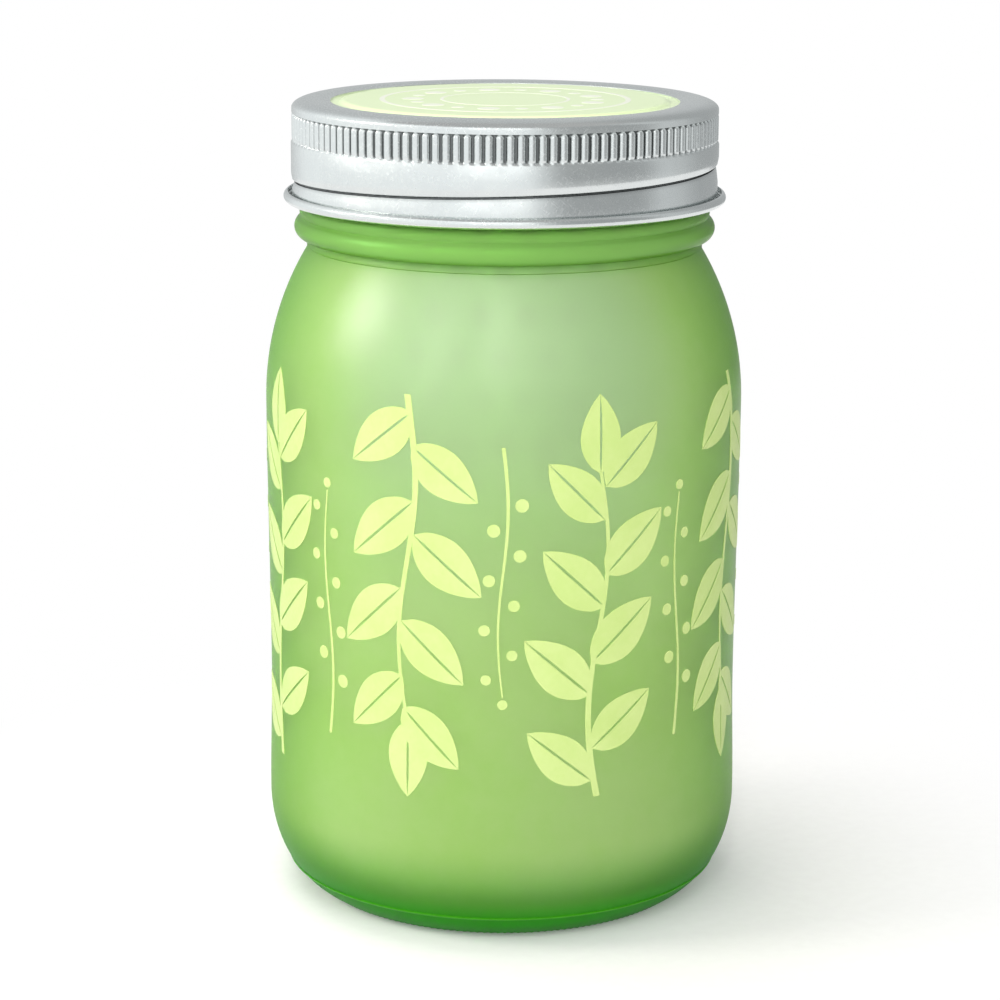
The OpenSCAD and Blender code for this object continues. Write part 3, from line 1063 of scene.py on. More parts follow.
    def build(self, shop: Workshop) -> bpy.types.Object:
        """Builds and dresses the print."""
        leaf = self.flat_leaf()
        parts = []
        for i in range(self.sprigs):
            angle = math.tau * (i + 0.5) / self.sprigs
            flip = -1 if i % 2 else 1
            base_z = self.high_z if i % 2 else self.low_z
            sprig = join(self.sprig(leaf, -flip * self.sprig_bow), "sprig")
            self.wrap(sprig, angle, base_z, flip)
            stalk = join(self.seed_stalk(self.stalk_bow), "stalk")
            self.wrap(stalk, angle + math.pi / self.sprigs, base_z + flip * self.stalk_inset, flip)
            parts += [sprig, stalk]
        remove(leaf)
        film = join(parts, "panel_print")
        clean_mesh(film)
        self.turn_out(film)
        add_modifier(film, "SOLIDIFY", thickness=self.film_t, offset=1)
        smooth(film, 30)
        enamel = Printed("panel_enamel", (0.49, 0.65, 0.20, 1), (0.54, 0.68, 0.24, 1), 0.5, 0.05)
        return dress(film, Body.JAR, Slot.GLASS, enamel.material(shop))

    def turn_out(self, film: bpy.types.Object) -> None:
        """Turns every face of the open film away from the axis."""
        make_active(film)
        bpy.ops.object.mode_set(mode="EDIT")
        bpy.ops.mesh.select_all(action="DESELECT")
        close_edit()
        for face in film.data.polygons:
            face.select = face.normal.x * face.center.x + face.normal.y * face.center.y < 0
        bpy.ops.object.mode_set(mode="EDIT")
        bpy.ops.mesh.flip_normals()
        close_edit()


@dataclass
class ScrewBand:
    """The tinplate ring: dipped lip, knurl, pressed thread groove, skirt and rolled hem."""

    top_z: float
    sheet_t: float = 0.28 * MM
    window_r: float = 29.75 * MM
    band_r: float = 36.35 * MM
    crest_drop: float = 0.24 * MM
    crest_r: float = 33.0 * MM
    corner_h: float = 1.45 * MM
    lip_dip: float = 0.34 * MM
    lip_w: float = 2.2 * MM
    lip_edge: float = 0.3 * MM
    knurl_drop: float = 2.4 * MM
    knurl_h: float = 4.9 * MM
    knurl_depth: float = 0.56 * MM
    knurl_end: float = 0.9 * MM
    rib_share: float = 0.80
    ledge_h: float = 0.12 * MM
    ramp_h: float = 0.45 * MM
    ribs: int = 130
    knurl_cuts: int = 4
    plain_out: float = 0.15 * MM
    groove_drop: float = 12.55 * MM
    groove_in: float = 0.95 * MM
    groove_roll: float = 0.20 * MM
    groove_run: float = 1.5 * MM
    groove_lip: float = 0.32 * MM
    groove_h: float = 0.16 * MM
    groove_round: float = 0.6
    # groove_shade_out: how far inside the band's outside the painted shade in the knurl and the pressed
    # groove begins.
    groove_shade_out: float = 0.24 * MM
    edge_out: float = 0.42 * MM
    pitch: float = 6.35 * MM
    turned: float = math.radians(125)
    hem_low: float = 17.25 * MM
    hem_r: float = 0.6 * MM
    hem_out: float = 37.55 * MM
    upper_rows: tuple = (2.4, 1.5, 1.2, 0.95, 0.7, 0.5, 0.34, 0.27, 0.15, 0.05)
    lower_rows: tuple = (0, -0.15, -0.2, -0.4, -1.2, -2.2)

    @property
    def knurl_top(self) -> float:
        """Height of the knurl's upper end."""
        return self.top_z - self.knurl_drop

    @property
    def knurl_low(self) -> float:
        """Height of the knurl's lower end."""
        return self.knurl_top - self.knurl_h

    @property
    def hem_z(self) -> float:
        """Height of the middle of the rolled hem."""
        return self.top_z - self.hem_low + self.hem_r

    @property
    def skirt_r(self) -> float:
        """Outside radius of the skirt where it turns out into the hem."""
        return self.hem_out - 2 * self.hem_r + self.sheet_t

    @property
    def groove_z(self) -> float:
        """Height of the pressed groove at the front."""
        return self.top_z - self.groove_drop

    def section(self, above: float) -> float:
        """Returns the radius of the plain zone and the skirt at a height above the groove's upper edge."""
        plain = self.band_r + self.plain_out
        if above >= self.groove_lip:
            return plain - self.groove_roll * ease(1 - above / self.groove_run)
        deepest = plain - self.groove_in
        if above >= 0:
            start = plain - self.groove_roll * ease(1 - self.groove_lip / self.groove_run)
            return deepest + (start - deepest) * (above / self.groove_lip) ** self.groove_round
        if above >= -self.groove_h:
            return deepest
        start = deepest + self.edge_out
        length = self.groove_z - self.hem_z - self.hem_r - self.groove_h
        return start + (self.skirt_r - start) * min((-above - self.groove_h) / length, 1.0)

    def path(self) -> list[Point]:
        """Returns the outside of the sheet, from the window over the top and down round the hem."""
        crest_z = self.top_z - self.crest_drop
        lip_z = crest_z - self.lip_dip
        edge_z = lip_z - self.lip_edge
        curl = [(self.window_r, edge_z), (self.window_r - 0.04 * MM, (edge_z + lip_z) / 2)]
        shares = [i / 9 for i in range(10)]
        lip = [(self.window_r + self.lip_w * share, lip_z + self.lip_dip * ease(share)) for share in shares]
        corner = quarter((self.crest_r, crest_z), (self.band_r, crest_z - self.corner_h), 16)
        top, low, end = self.knurl_top, self.knurl_low, self.knurl_end
        knurl = [(self.band_r, z) for z in (top, top - 0.25 * MM, top - end, low + end, low)]
        swell = [(self.band_r + self.plain_out, low - 0.3 * MM)]
        rows = [row * MM for row in self.upper_rows + self.lower_rows]
        plain = [(self.section(row), self.groove_z + row) for row in rows]
        hem = arc((self.hem_out - self.hem_r, self.hem_z), self.hem_r, 165, 440, 22)
        return curl + lip + corner + knurl + swell + plain + hem

    def rib(self, height: float, turn: float) -> float:
        """Returns how far the knurl stands out at a height and turn, 1 on a rib and 0 between ribs."""
        phase = (turn / math.tau * self.ribs) % 1.0
        half = self.rib_share / 2
        across = abs(phase - 0.5) / half
        ends = min(self.knurl_top - height, height - self.knurl_low)
        round_end = half * math.tau * self.band_r / self.ribs
        along = max(0.0, 1 - ends / round_end)
        return math.sqrt(max(0.0, 1 - across**2 - along**2))

    def recess(self, height: float, turn: float) -> float:
        """Returns how far the knurled zone lies inside the band's wall at a height and turn."""
        ledge = ease((self.knurl_top - height) / self.ledge_h)
        ramp = ease((height - self.knurl_low) / self.ramp_h)
        return self.knurl_depth * ledge * ramp * (1 - self.rib(height, turn))

    def rise(self, turn: float) -> float:
        """Returns how far the groove has climbed at a turn from the front, back to nothing behind."""
        climb = self.pitch / math.tau
        if abs(turn) <= self.turned:
            return climb * turn
        rest = (math.pi - abs(turn)) / (math.pi - self.turned)
        return math.copysign(climb * self.turned * ease(rest), turn)

    def press(self, point: Vector) -> Vector:
        """Rule that presses the knurl and turns the groove into a helix in the lathed sheet."""
        radius = math.hypot(point.x, point.y)
        turn = math.atan2(point.x, -point.y)
        low, high = self.hem_z + self.hem_r, self.knurl_low - 0.5 * MM
        if self.knurl_low <= point.z <= self.knurl_top and radius > self.band_r - 0.01 * MM:
            point.xy = point.xy * ((radius - self.recess(point.z, turn)) / radius)
        elif low < point.z < high:
            up = self.groove_z
            share = (point.z - low) / (up - low) if point.z < up else (high - point.z) / (high - up)
            point.z += self.rise(turn) * min(1.0, share * 1.35)
            fade = ease((math.pi - abs(turn)) / (math.pi - self.turned))
            cone = self.band_r + (self.skirt_r - self.band_r) * (high - point.z) / (high - low)
            point.xy = point.xy * ((cone + (radius - cone) * fade) / radius)
        return point

    def refine_knurl(self, band: bpy.types.Object) -> None:
        """Cuts the faces of the knurl finer than the rest."""
        make_active(band)
        bpy.ops.object.mode_set(mode="EDIT")
        bpy.ops.mesh.select_mode(type="FACE")
        bpy.ops.mesh.select_all(action="DESELECT")
        close_edit()
        for face in band.data.polygons:
            inside = self.knurl_low < face.center.z < self.knurl_top
            face.select = inside and math.hypot(face.center.x, face.center.y) > self.band_r - 0.2 * MM
        bpy.ops.object.mode_set(mode="EDIT")
        bpy.ops.mesh.subdivide(number_cuts=self.knurl_cuts)
        bpy.ops.mesh.select_mode(type="VERT")
        close_edit()

    def build(self, shop: Workshop) -> bpy.types.Object:
        """Builds and dresses the band."""
        band = lathe("screw_ring", self.path(), 2 * self.ribs)
        face_outwards(band)
        self.refine_knurl(band)
        reshape(band, self.press)
        add_modifier(band, "SOLIDIFY", thickness=self.sheet_t, offset=-1)
        smooth(band, 62)
        finish = SheetMetal(
            "band_sheet",
            (0.73, 0.76, 0.76, 1),
            (0.78, 0.81, 0.80, 1),
            (0.20, 0.32),
            # Painted shade: the knurl's recesses and the pressed thread groove are darkened in colour.
            groove_r=(self.band_r - self.knurl_depth, self.band_r - self.groove_shade_out),
            groove_z=(self.hem_z + 2 * self.hem_r, self.knurl_top + 0.02 * MM),
        )
        return dress(band, Body.BAND, Slot.BAND, finish.material(shop), ["screw_band"])


@dataclass
class Lid:
    """The loose lid under the band: disc, sealing ring and the pale printed cover sheet."""

    sheet_low: float
    sheet_high: float
    sheet_r: float = 33.5 * MM
    rise_r: float = 27.1 * MM
    slope: float = 1.5 * MM
    rise_h: float = 0.45 * MM
    sheet_t: float = 0.16 * MM
    film_t: float = 0.02 * MM
    film_sunk: float = 0.01 * MM
    rings: tuple = ((20.5 * MM, 0.9 * MM), (10.5 * MM, 0.6 * MM))
    dots: int = 18
    dots_r: float = 15.7 * MM
    dot_r: Point = (1.1 * MM, 1.9 * MM)

    def cover_path(self) -> list[Point]:
        """Returns the closed section of the cover sheet, raised in the middle."""
        top, low = self.sheet_high, self.sheet_low
        flat, under = top - self.rise_h, top - self.sheet_t
        foot_r = self.rise_r + self.slope
        upper = [(0, top), (self.rise_r * 0.4, top), (self.rise_r - 0.3 * MM, top)]
        shares = [i / 6 for i in range(7)]
        upper += [(self.rise_r + self.slope * share, top - self.rise_h * ease(share)) for share in shares]
        upper += [(self.sheet_r - 0.1 * MM, flat), (self.sheet_r, flat - 0.05 * MM)]
        return upper + [(self.sheet_r, low), (foot_r, low), (self.rise_r, under), (0, under)]

    def paper(self, name: str, low: tuple, high: tuple) -> Printed:
        """Returns the finish of the smooth, glossy cover in two close tones."""
        return Printed(name, low, high, 0.28, 0.5, scale=60.0, relief=0.005, vary=(0, 0.01))

    def wreath(self, shop: Workshop) -> bpy.types.Object:
        """Prints two plain rings and a ring of dots on the cover sheet, as a thin film."""
        parts = []
        low, high = self.sheet_high - self.film_sunk, self.sheet_high + self.film_t
        for radius, width in self.rings:
            outer = radius + width
            edge = [(radius, low), (radius, high), (outer, high), (outer, low), (radius, low)]
            parts.append(lathe("ring", edge, 96))
        for i in range(self.dots):
            deselect()
            turn = math.tau * i / self.dots
            spot = (self.dots_r * math.cos(turn), self.dots_r * math.sin(turn), high - self.film_t / 2)
            bpy.ops.mesh.primitive_cylinder_add(
                vertices=24, radius=self.dot_r[i % 2], depth=self.film_t, location=spot
            )
            settle(bpy.context.object)
            parts.append(bpy.context.object)
        film = join(parts, "cover_print")
        clean_mesh(film)
        ink = self.paper("cover_ink", (0.93, 0.97, 0.80, 1), (0.94, 0.98, 0.82, 1))
        return dress(film, Body.COVER, Slot.COVER, ink.material(shop))

    def build(self, shop: Workshop) -> None:
        """Builds and dresses the lid's pieces."""
        cover = lathe("lid_cover", self.cover_path(), 160)
        smooth(cover, 30)
        sheet = self.paper("cover_paper", (0.77, 0.95, 0.50, 1), (0.79, 0.96, 0.53, 1))
        dress(cover, Body.COVER, Slot.COVER, sheet.material(shop), ["lid_sheet"])
        self.wreath(shop)
        tin = SheetMetal("disc_sheet", (0.70, 0.71, 0.70, 1), (0.80, 0.81, 0.79, 1), (0.25, 0.4))
        dress_node("lid_disc", tin.material(shop))
        rubber = Fibrous("seal_ring", (0.62, 0.60, 0.54, 1), (0.72, 0.70, 0.64, 1), 300.0, 0.00002)
        dress_node("lid_seal", rubber.material(shop))


@dataclass
class NetPot:
    """The stainless net pot with its wick and its growing medium."""

    wick_low: float
    wick_high: float
    wick_t: float = 2 * MM
    wick_w: float = 12 * MM
    wick_slack: float = 0.3 * MM
    ripple: float = 0.12 * MM
    slot_x: float = 3.5 * MM
    drift: float = 4 * MM
    straight: float = 2 * MM
    pot_z: float = 76.6 * MM
    medium_r: float = 28.2 * MM
    medium_foot_r: float = 27.5 * MM
    medium_foot_z: float = 82 * MM
    medium_low: float = 77.4 * MM
    rows: int = 26
    coarse_lump: float = 0.9 * MM
    fine_lump: float = 0.45 * MM
    chip_r: float = 0.9 * MM
    chips_out: float = 25.5 * MM
    medium_top: float = 123.6 * MM
    crown: float = 1.6 * MM
    chips: int = 150

    def wick_line(self) -> list[Point]:
        """Returns the middle of the felt strip, up one tail, round the loop and down the other."""
        tail = []
        top = self.pot_z - self.straight
        for i in range(17):
            share = i / 16
            out = self.slot_x + self.drift * ease(1 - share)
            tail.append((-out, self.wick_low + (top - self.wick_low) * share))
        loop_z = self.wick_high - self.wick_t / 2 - self.slot_x
        rise = [(-self.slot_x, top + (loop_z - top) * i / 6) for i in range(1, 6)]
        loop = arc((0, loop_z), self.slot_x, 180, 0, 18)
        down = [(-x, z) for x, z in reversed(tail + rise)]
        return tail + rise + loop + down

    def wick(self, shop: Workshop) -> bpy.types.Object:
        line = self.wick_line()
        deselect()
        bpy.ops.mesh.primitive_grid_add(x_subdivisions=len(line) - 1, y_subdivisions=8, size=1)
        strip = bpy.context.object
        strip.name = "felt_wick"
        count = len(line) - 1

        def lay(point: Vector) -> Vector:
            """Rule that lays the flat grid along the strip's line, with a slight ripple."""
            i = round((point.x + 0.5) * count)
            x, z = line[i]
            ripple = self.ripple * noise.noise(Vector((i * 0.4, point.y * 5, 0)))
            return Vector((x + ripple, point.y * self.wick_w, z))

        reshape(strip, lay)
        length = sum(math.dist(a, b) for a, b in zip(line, line[1:]))
        add_modifier(strip, "SOLIDIFY", thickness=self.wick_t - self.wick_slack, offset=0)
        smooth(strip, 50)
        felt = Fibrous("needled_felt", (0.78, 0.75, 0.66, 1), (0.88, 0.86, 0.79, 1), 260.0, 0.00018, 0.4)
        dress(strip, Body.NET_POT, Slot.WICK, felt.material(shop), ["wick"])
        return strip

    def medium_outline(self) -> list[Point]:
        """Returns the outline of the filling, with rows fine enough for its lumps."""
        wall_top = self.medium_top - self.crown
        foot_r, foot_z = self.medium_foot_r, self.medium_foot_z
        low_z = self.medium_low
        low = [(0, low_z), (foot_r / 2, low_z), (foot_r, low_z), (foot_r, foot_z)]
        shares = [i / self.rows for i in range(1, self.rows + 1)]
        wall = [(self.medium_r, foot_z + (wall_top - foot_z) * share) for share in shares]
        rise = self.crown * 0.7
        crown = [(self.medium_r * (1 - share), wall_top + rise * ease(share * 1.3)) for share in shares]
        return low + wall + crown

    def lump(self, point: Vector) -> Vector:
        """Rule that lumps the filling, inwards on its wall and both ways on its top."""
        coarse = noise.noise(point * 210)
        fine = noise.noise(point * 620)
        height = self.coarse_lump * coarse + self.fine_lump * fine
        radius = math.hypot(point.x, point.y)
        if point.z > self.medium_top - self.crown - 0.5 * MM and radius < self.medium_foot_r - 0.5 * MM:
            point.z += height * 0.6
        elif point.z > self.medium_foot_z + 0.4 * MM:
            point.xy = point.xy * ((radius - abs(height)) / radius)
        return point

    def husk_chips(self) -> list[bpy.types.Object]:
        """Scatters small husk chips over the top of the filling."""
        chips = []
        deselect()
        bpy.ops.mesh.primitive_ico_sphere_add(subdivisions=1, radius=1.0)
        pattern = bpy.context.object
        golden = math.pi * (3 - math.sqrt(5))
        for i in range(self.chips):
            seed = Vector((i * 1.7, i * 0.31, 4.2))
            radius = self.chips_out * math.sqrt((i + 0.5) / self.chips)
            turn = i * golden + noise.noise(seed)
            base = self.medium_top - self.crown * (0.3 + 0.7 * (radius / self.medium_r) ** 2)
            size = self.chip_r * (1 + 0.6 * noise.noise(seed * 3))
            chip = copy_piece(pattern)
            shape = Matrix.Diagonal((size * 1.7, size, size * 0.5, 1))
            tilt = Matrix.Rotation(noise.noise(seed * 5) * 1.2, 4, "X") @ Matrix.Rotation(turn * 2.3, 4, "Z")
            place = Matrix.Translation((radius * math.cos(turn), radius * math.sin(turn), base))
            chip.data.transform(place @ tilt @ shape)
            chips.append(chip)
        remove(pattern)
        return chips

    def medium(self, shop: Workshop) -> bpy.types.Object:
        """Builds the growing medium."""
        filling = lathe("husk_filling", self.medium_outline(), 128)
        reshape(filling, self.lump)
        filling = join([filling] + self.husk_chips(), "husk_filling")
        smooth(filling, 35)
        husk = Fibrous("coconut_husk", (0.10, 0.055, 0.03, 1), (0.30, 0.19, 0.11, 1), 500.0, 0.0004)
        return dress(filling, Body.NET_POT, Slot.MEDIUM, husk.material(shop), ["grow_medium"])

    def build(self, shop: Workshop) -> None:
        """Builds the wick and the medium, and dresses the pot's CAD nodes."""
        steel = SheetMetal("pot_steel", (0.58, 0.59, 0.60, 1), (0.72, 0.73, 0.74, 1), (0.2, 0.36), 2600.0)
        material = steel.material(shop)
        for name in ("net_pot_collar", "net_pot_wall", "net_pot_floor"):
            dress_node(name, material)
        self.wick(shop)
        self.medium(shop)


@dataclass
class Packet:
    """A filled paper packet that leans on the glass, with flat crimped edges."""

    name: str
    node: str
    slot: Slot
    width: float
    height: float
    thick: float
    turn: float
    fill: float
    edge_w: float = 4 * MM
    edge_t: float = 0.8 * MM
    crimp: float = 0.12 * MM
    crimp_pitch: float = 1.1 * MM
    swell_run: float = 3.2 * MM
    sag: float = 0.18
    wrinkle: float = 0.06
    wrinkle_scale: float = 260

    def swell(self, x: float, y: float) -> float:
        """Returns half the packet's thickness at a place of its face."""
        inset = min(self.width / 2 - abs(x), y, self.height - y) - self.edge_w * 0.8
        flat = self.edge_t / 2 * 0.6
        if inset <= 0:
            return flat + self.crimp / 2 * math.sin(y / self.crimp_pitch)
        full = 1 - math.exp(-inset / self.swell_run)
        spot = Vector((x * self.wrinkle_scale, y * self.wrinkle_scale, self.thick * 900))
        uneven = 1 - self.wrinkle + self.wrinkle * noise.noise(spot)
        sag = 1 - self.sag + self.sag * ease(1 - y / self.height)
        return flat + (self.thick / 2 - flat) * full * sag * uneven

    def build(self, foot_r: float, floor_z: float, lean: float, material: bpy.types.Material) -> None:
        """Builds the packet in its place.

        Args:
            foot_r: Distance from the axis to its lower edge.
            floor_z: Height of its lower edge.
            lean: How far it leans out.
            material: Its material.
        """
        deselect()
        bpy.ops.mesh.primitive_cube_add(size=1)
        packet = bpy.context.object
        packet.name = self.name
        edit_all(packet)
        bpy.ops.mesh.subdivide(number_cuts=39)
        close_edit()

        def inflate(point: Vector) -> Vector:
            """Rule that makes the cube a pouch, standing on its lower edge."""
            x = point.x * self.width
            y = (point.z + 0.5) * self.height
            return Vector((x, point.y * 2 * self.swell(x, y), y))

        reshape(packet, inflate)
        place = Matrix.Rotation(self.turn, 4, "Z") @ Matrix.Translation((0, foot_r, floor_z))
        packet.data.transform(place @ Matrix.Rotation(-lean, 4, "X"))
        clean_mesh(packet)
        smooth(packet, 60)
        dress(packet, Body.JAR, self.slot, material, [self.node])


@dataclass
class Packets:
    """The seed packet, the plant food sachet and the carbon sachet on the jar's floor."""

    jar: JarGlass
    gap: float = 1 * MM
    soft_gap: float = 0.3 * MM
    lean: float = math.radians(15)

    def foot_r(self, packet: Packet) -> float:
        """Returns how far out a packet's lower edge stands, with its top corners on the glass."""
        inner = self.jar.body_r - self.jar.wall - self.jar.waist_in - self.soft_gap
        reach = math.sqrt(inner**2 - (packet.width / 2) ** 2)
        return reach - packet.edge_t - packet.height * math.sin(self.lean)

    def half_turn(self, packet: Packet) -> float:
        """Returns the angle that half a packet's lower edge takes, with half the gap beside it."""
        return math.atan((packet.width + self.gap) / 2 / (self.foot_r(packet) - packet.edge_t / 2))

    def build(self, shop: Workshop) -> None:
        """Builds the three packets."""
        seed = Packet("seed_envelope", "seed_packet", Slot.PACKET, 38 * MM, 52 * MM, 2.2 * MM, 0, 0.2)
        food = Packet("food_sachet", "plant_food_sachet", Slot.SACHET, 34 * MM, 44 * MM, 6 * MM, 0, 0.7)
        carbon = Packet("carbon_pouch", "carbon_sachet", Slot.CARBON, 26 * MM, 40 * MM, 6 * MM, 0, 0.7)
        food.turn = self.half_turn(seed) + self.half_turn(food)
        carbon.turn = -self.half_turn(seed) - self.half_turn(carbon)
        finishes = (
            Printed("envelope_paper", (0.78, 0.78, 0.68, 1), (0.86, 0.86, 0.78, 1), 0.6, 0.0),
            Printed("sachet_paper", (0.84, 0.85, 0.82, 1), (0.90, 0.91, 0.88, 1), 0.4, 0.2),
            Printed("dark_paper", (0.10, 0.10, 0.105, 1), (0.17, 0.17, 0.18, 1), 0.55, 0.0),
        )
        floor_z = self.jar.inner_floor_z + self.jar.floor_crown + self.soft_gap
        for packet, finish in zip((seed, food, carbon), finishes):
            packet.build(self.foot_r(packet), floor_z, self.lean, finish.material(shop))


@dataclass(frozen=True)
class Drape:
    """A grey drape on the room wall: where it hangs, seen from the jar, and how bright it is."""

    turn_deg: float
    half_deg: float
    soft_deg: float
    glow: float


@dataclass(frozen=True)
class Lamp:
    """A soft rectangular lamp: its place, its width and height, its power, and which rays see it."""

    name: str
    place: tuple
    size: Point
    watts: float
    mirrored: bool = True
    lit: bool = True
    tint: tuple = (1.0, 0.985, 0.96)
    aim: tuple = (0, 0, 0.07)


@dataclass
class Studio:
    """The camera, the pale floor, the lamps, the round wall and the white surroundings."""

    lens_mm: float = 109.5
    camera: tuple = (-0.00055, -0.5195, 0.1916)
    pitch_deg: float = 13.32
    roll_deg: float = 0.28
    ambient: float = 0.42
    ceiling: float = 0.5
    floor_tone: Point = (0.84, 0.86)
    floor_grain: float = 400.0
    floor_lift: float = 0.12
    floor_fade: Point = (0.05, 0.135)
    floor_r: float = 6.0
    floor_gap: float = 0.02 * MM
    wall_r: float = 0.6
    wall_h: float = 1.0
    wall_tint: tuple = (0.96, 0.99, 1.0, 1)
    drapes: tuple = (Drape(52, 18, 24, 0.42), Drape(150, 40, 45, 0.58), Drape(140, 12, 22, 0.76))
    flags: tuple = (Drape(-75, 35, 45, 0.45), Drape(75, 45, 45, 0.15))
    lamps: tuple = (
        Lamp("key_glow", (-0.62, -0.10, 0.38), (0.20, 0.20), 2.8, lit=False, tint=(1.0, 0.95, 0.88)),
        Lamp("key_softbox", (-0.62, -0.14, 0.40), (0.24, 0.24), 2.1, mirrored=False, tint=(1.0, 0.94, 0.86)),
        Lamp("front_scrim", (-0.46, -0.68, 0.48), (0.8, 0.6), 3.2),
        Lamp("left_strip", (-0.46, -0.66, 0.50), (0.07, 0.6), 2.0, lit=False),
        Lamp("middle_strip", (-0.05, -0.82, 0.54), (0.07, 0.6), 2.0),
        Lamp("right_fill", (0.27, -0.72, 0.45), (0.5, 0.5), 2.2, mirrored=False),
        Lamp("top_softbox", (-0.25, 0.20, 0.90), (0.7, 0.5), 3.5, mirrored=False),
    )

    def add_camera(self) -> None:
        """Adds the camera at the photograph's place."""
        data = bpy.data.cameras.new("camera")
        data.lens = self.lens_mm
        data.sensor_width = 36
        data.clip_start = 0.01
        camera = bpy.data.objects.new("camera", data)
        bpy.context.scene.collection.objects.link(camera)
        tilt = Matrix.Rotation(math.radians(90 - self.pitch_deg), 4, "X")
        roll = Matrix.Rotation(math.radians(self.roll_deg), 4, "Z")
        camera.matrix_world = Matrix.Translation(self.camera) @ tilt @ roll
        bpy.context.scene.camera = camera

    def add_lamp(self, lamp: Lamp) -> None:
        """Adds a soft rectangular lamp."""
        data = bpy.data.lights.new(lamp.name, "AREA")
        data.shape = "RECTANGLE"
        data.size, data.size_y = lamp.size
        data.energy = lamp.watts
        data.color = lamp.tint
        box = bpy.data.objects.new(lamp.name, data)
        bpy.context.scene.collection.objects.link(box)
        box.location = lamp.place
        box.rotation_euler = (Vector(lamp.aim) - Vector(lamp.place)).to_track_quat("-Z", "Y").to_euler()
        box.visible_glossy = lamp.mirrored
        box.visible_diffuse = lamp.lit

    def floor_material(self) -> bpy.types.Material:
        """Builds the floor's white: it takes the shadow near the jar and is plain white far off."""
        material = bpy.data.materials.new("pale_floor")
        material.use_nodes = True
        tree = material.node_tree
        tree.nodes.remove(tree.nodes["Principled BSDF"])
        sketch = Sketch(tree)
        place = sketch.place()
        rays = sketch.add("LightPath").outputs
        mirrored = sketch.math("MAXIMUM", rays["Is Glossy Ray"], rays["Is Transmission Ray"])
        seen = sketch.math("MAXIMUM", rays["Is Camera Ray"], mirrored)
        grain = sketch.span(sketch.noise(place, self.floor_grain), 0.3, 0.7, self.floor_tone)
        tone = sketch.add("CombineColor", {0: grain, 1: grain, 2: grain}).outputs[0]
        matt = sketch.add("BsdfDiffuse", {"Color": tone})
        lifted = sketch.math("MULTIPLY", rays["Is Camera Ray"], self.floor_lift)
        lift = sketch.add("Emission", {"Strength": lifted})
        near = sketch.add("AddShader", {0: matt.outputs[0], 1: lift.outputs[0]})
        white = sketch.add("Emission", {"Strength": 1.0})
        far = sketch.add("MixShader", {0: seen, 1: matt.outputs[0], 2: white.outputs[0]})
        share = sketch.span(sketch.length(place), *self.floor_fade)
        blend = sketch.add("MixShader", {0: share, 1: near.outputs[0], 2: far.outputs[0]})
        tree.links.new(blend.outputs[0], tree.nodes["Material Output"].inputs["Surface"])
        return material

    def add_floor(self) -> None:
        """Adds the floor as a wide disc."""
        deselect()
        place = (0, 0, -self.floor_gap)
        bpy.ops.mesh.primitive_circle_add(vertices=96, radius=self.floor_r, fill_type="NGON", location=place)
        floor = bpy.context.object
        floor.name = "pale_floor"
        settle(floor)
        floor.data.materials.append(self.floor_material())

    def draped(self, sketch: Sketch, look: object, drapes: Sequence[Drape]) -> bpy.types.NodeSocket:
        """Returns the brightness of the wall, 1 where no drape hangs.

        Args:
            sketch: Sketch of the wall's material.
            look: Level direction from the jar to the wall.
            drapes: The drapes that darken it.

        Returns:
            The brightness.
        """
        strength = 1.0
        for drape in drapes:
            turn = math.radians(drape.turn_deg)
            middle = (math.sin(turn), -math.cos(turn), 0)
            toward = sketch.add("VectorMath", {0: look, 1: middle}, operation="DOT_PRODUCT").outputs["Value"]
            outer = math.cos(math.radians(drape.half_deg + drape.soft_deg))
            inner = math.cos(math.radians(drape.half_deg))
            shade = sketch.span(toward, outer, inner, (1.0, drape.glow))
            strength = sketch.math("MULTIPLY", strength, shade)
        return strength

    def wall_material(self) -> bpy.types.Material:
        """Builds the glow of the room wall: white, with drapes for the metal and for the glass."""
        material = bpy.data.materials.new("room_wall")
        material.use_nodes = True
        tree = material.node_tree
        tree.nodes.remove(tree.nodes["Principled BSDF"])
        sketch = Sketch(tree)
        flat = sketch.level(sketch.place())
        look = sketch.add("VectorMath", {0: flat}, operation="NORMALIZE").outputs[0]
        mirrored = self.draped(sketch, look, self.drapes)
        through = self.draped(sketch, look, self.flags)
        clear = sketch.add("LightPath").outputs["Is Transmission Ray"]
        strength = sketch.add("Mix", {0: clear, 2: mirrored, 3: through}, data_type="FLOAT").outputs[0]
        glow = sketch.add("Emission", {"Color": self.wall_tint, "Strength": strength})
        tree.links.new(glow.outputs[0], tree.nodes["Material Output"].inputs["Surface"])
        return material

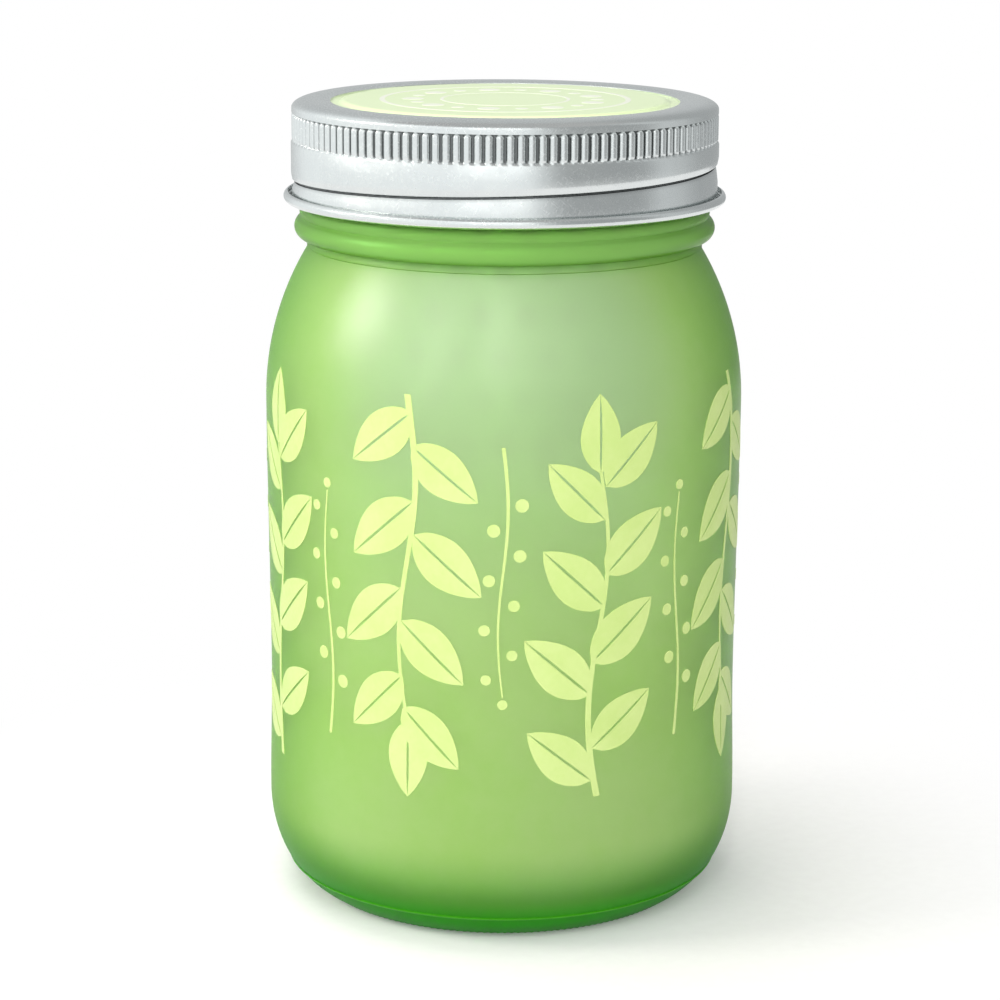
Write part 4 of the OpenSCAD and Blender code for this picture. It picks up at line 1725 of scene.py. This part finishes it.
    def add_wall(self) -> None:
        """Adds the round wall that only the glossy surfaces see."""
        deselect()
        place = (0, 0, self.wall_h / 2)
        bpy.ops.mesh.primitive_cylinder_add(
            vertices=96, radius=self.wall_r, depth=self.wall_h, end_fill_type="NOTHING", location=place
        )
        wall = bpy.context.object
        wall.name = "room_wall"
        settle(wall)
        wall.data.materials.append(self.wall_material())
        wall.visible_camera = False
        wall.visible_diffuse = False
        wall.visible_shadow = False

    def add_world(self) -> None:
        """Makes the surroundings: white to look at, and a softer light on the matt surfaces."""
        world = bpy.data.worlds.new("studio")
        world.use_nodes = True
        bpy.context.scene.world = world
        tree = world.node_tree
        sketch = Sketch(tree)
        rays = sketch.add("LightPath").outputs
        plain = sketch.math("MAXIMUM", rays["Is Camera Ray"], rays["Is Transmission Ray"])
        mirror = {0: rays["Is Glossy Ray"], 2: self.ambient, 3: self.ceiling}
        lit = sketch.add("Mix", mirror, data_type="FLOAT").outputs[0]
        strength = sketch.add("Mix", {0: plain, 2: lit, 3: 1.0}, data_type="FLOAT").outputs[0]
        tree.links.new(strength, tree.nodes["Background"].inputs["Strength"])
        tree.nodes["Background"].inputs["Color"].default_value = WHITE

    def build(self) -> None:
        """Builds the whole studio."""
        self.add_camera()
        self.add_world()
        self.add_floor()
        self.add_wall()
        for lamp in self.lamps:
            self.add_lamp(lamp)
        bpy.context.scene.view_settings.view_transform = "Standard"


def main() -> None:
    """Builds the studio and every piece."""
    logging.basicConfig(level=logging.INFO, format="%(message)s")
    Studio().build()
    shop = Workshop(build_scratches(), build_mottle())
    jar_low, jar_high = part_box("jar")
    jar = JarGlass(body_r=(jar_high.x - jar_low.x) / 2 - PanelPrint.film_t, height=jar_high.z)
    jar.build(shop)
    PanelPrint(jar).build(shop)
    ScrewBand(top_z=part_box("screw_band")[1].z).build(shop)
    sheet_low, sheet_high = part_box("lid_sheet")
    Lid(sheet_low.z, sheet_high.z).build(shop)
    wick_low, wick_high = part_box("wick")
    NetPot(wick_low.z, wick_high.z).build(shop)
    Packets(jar).build(shop)


if __name__ == "__main__":
    main()
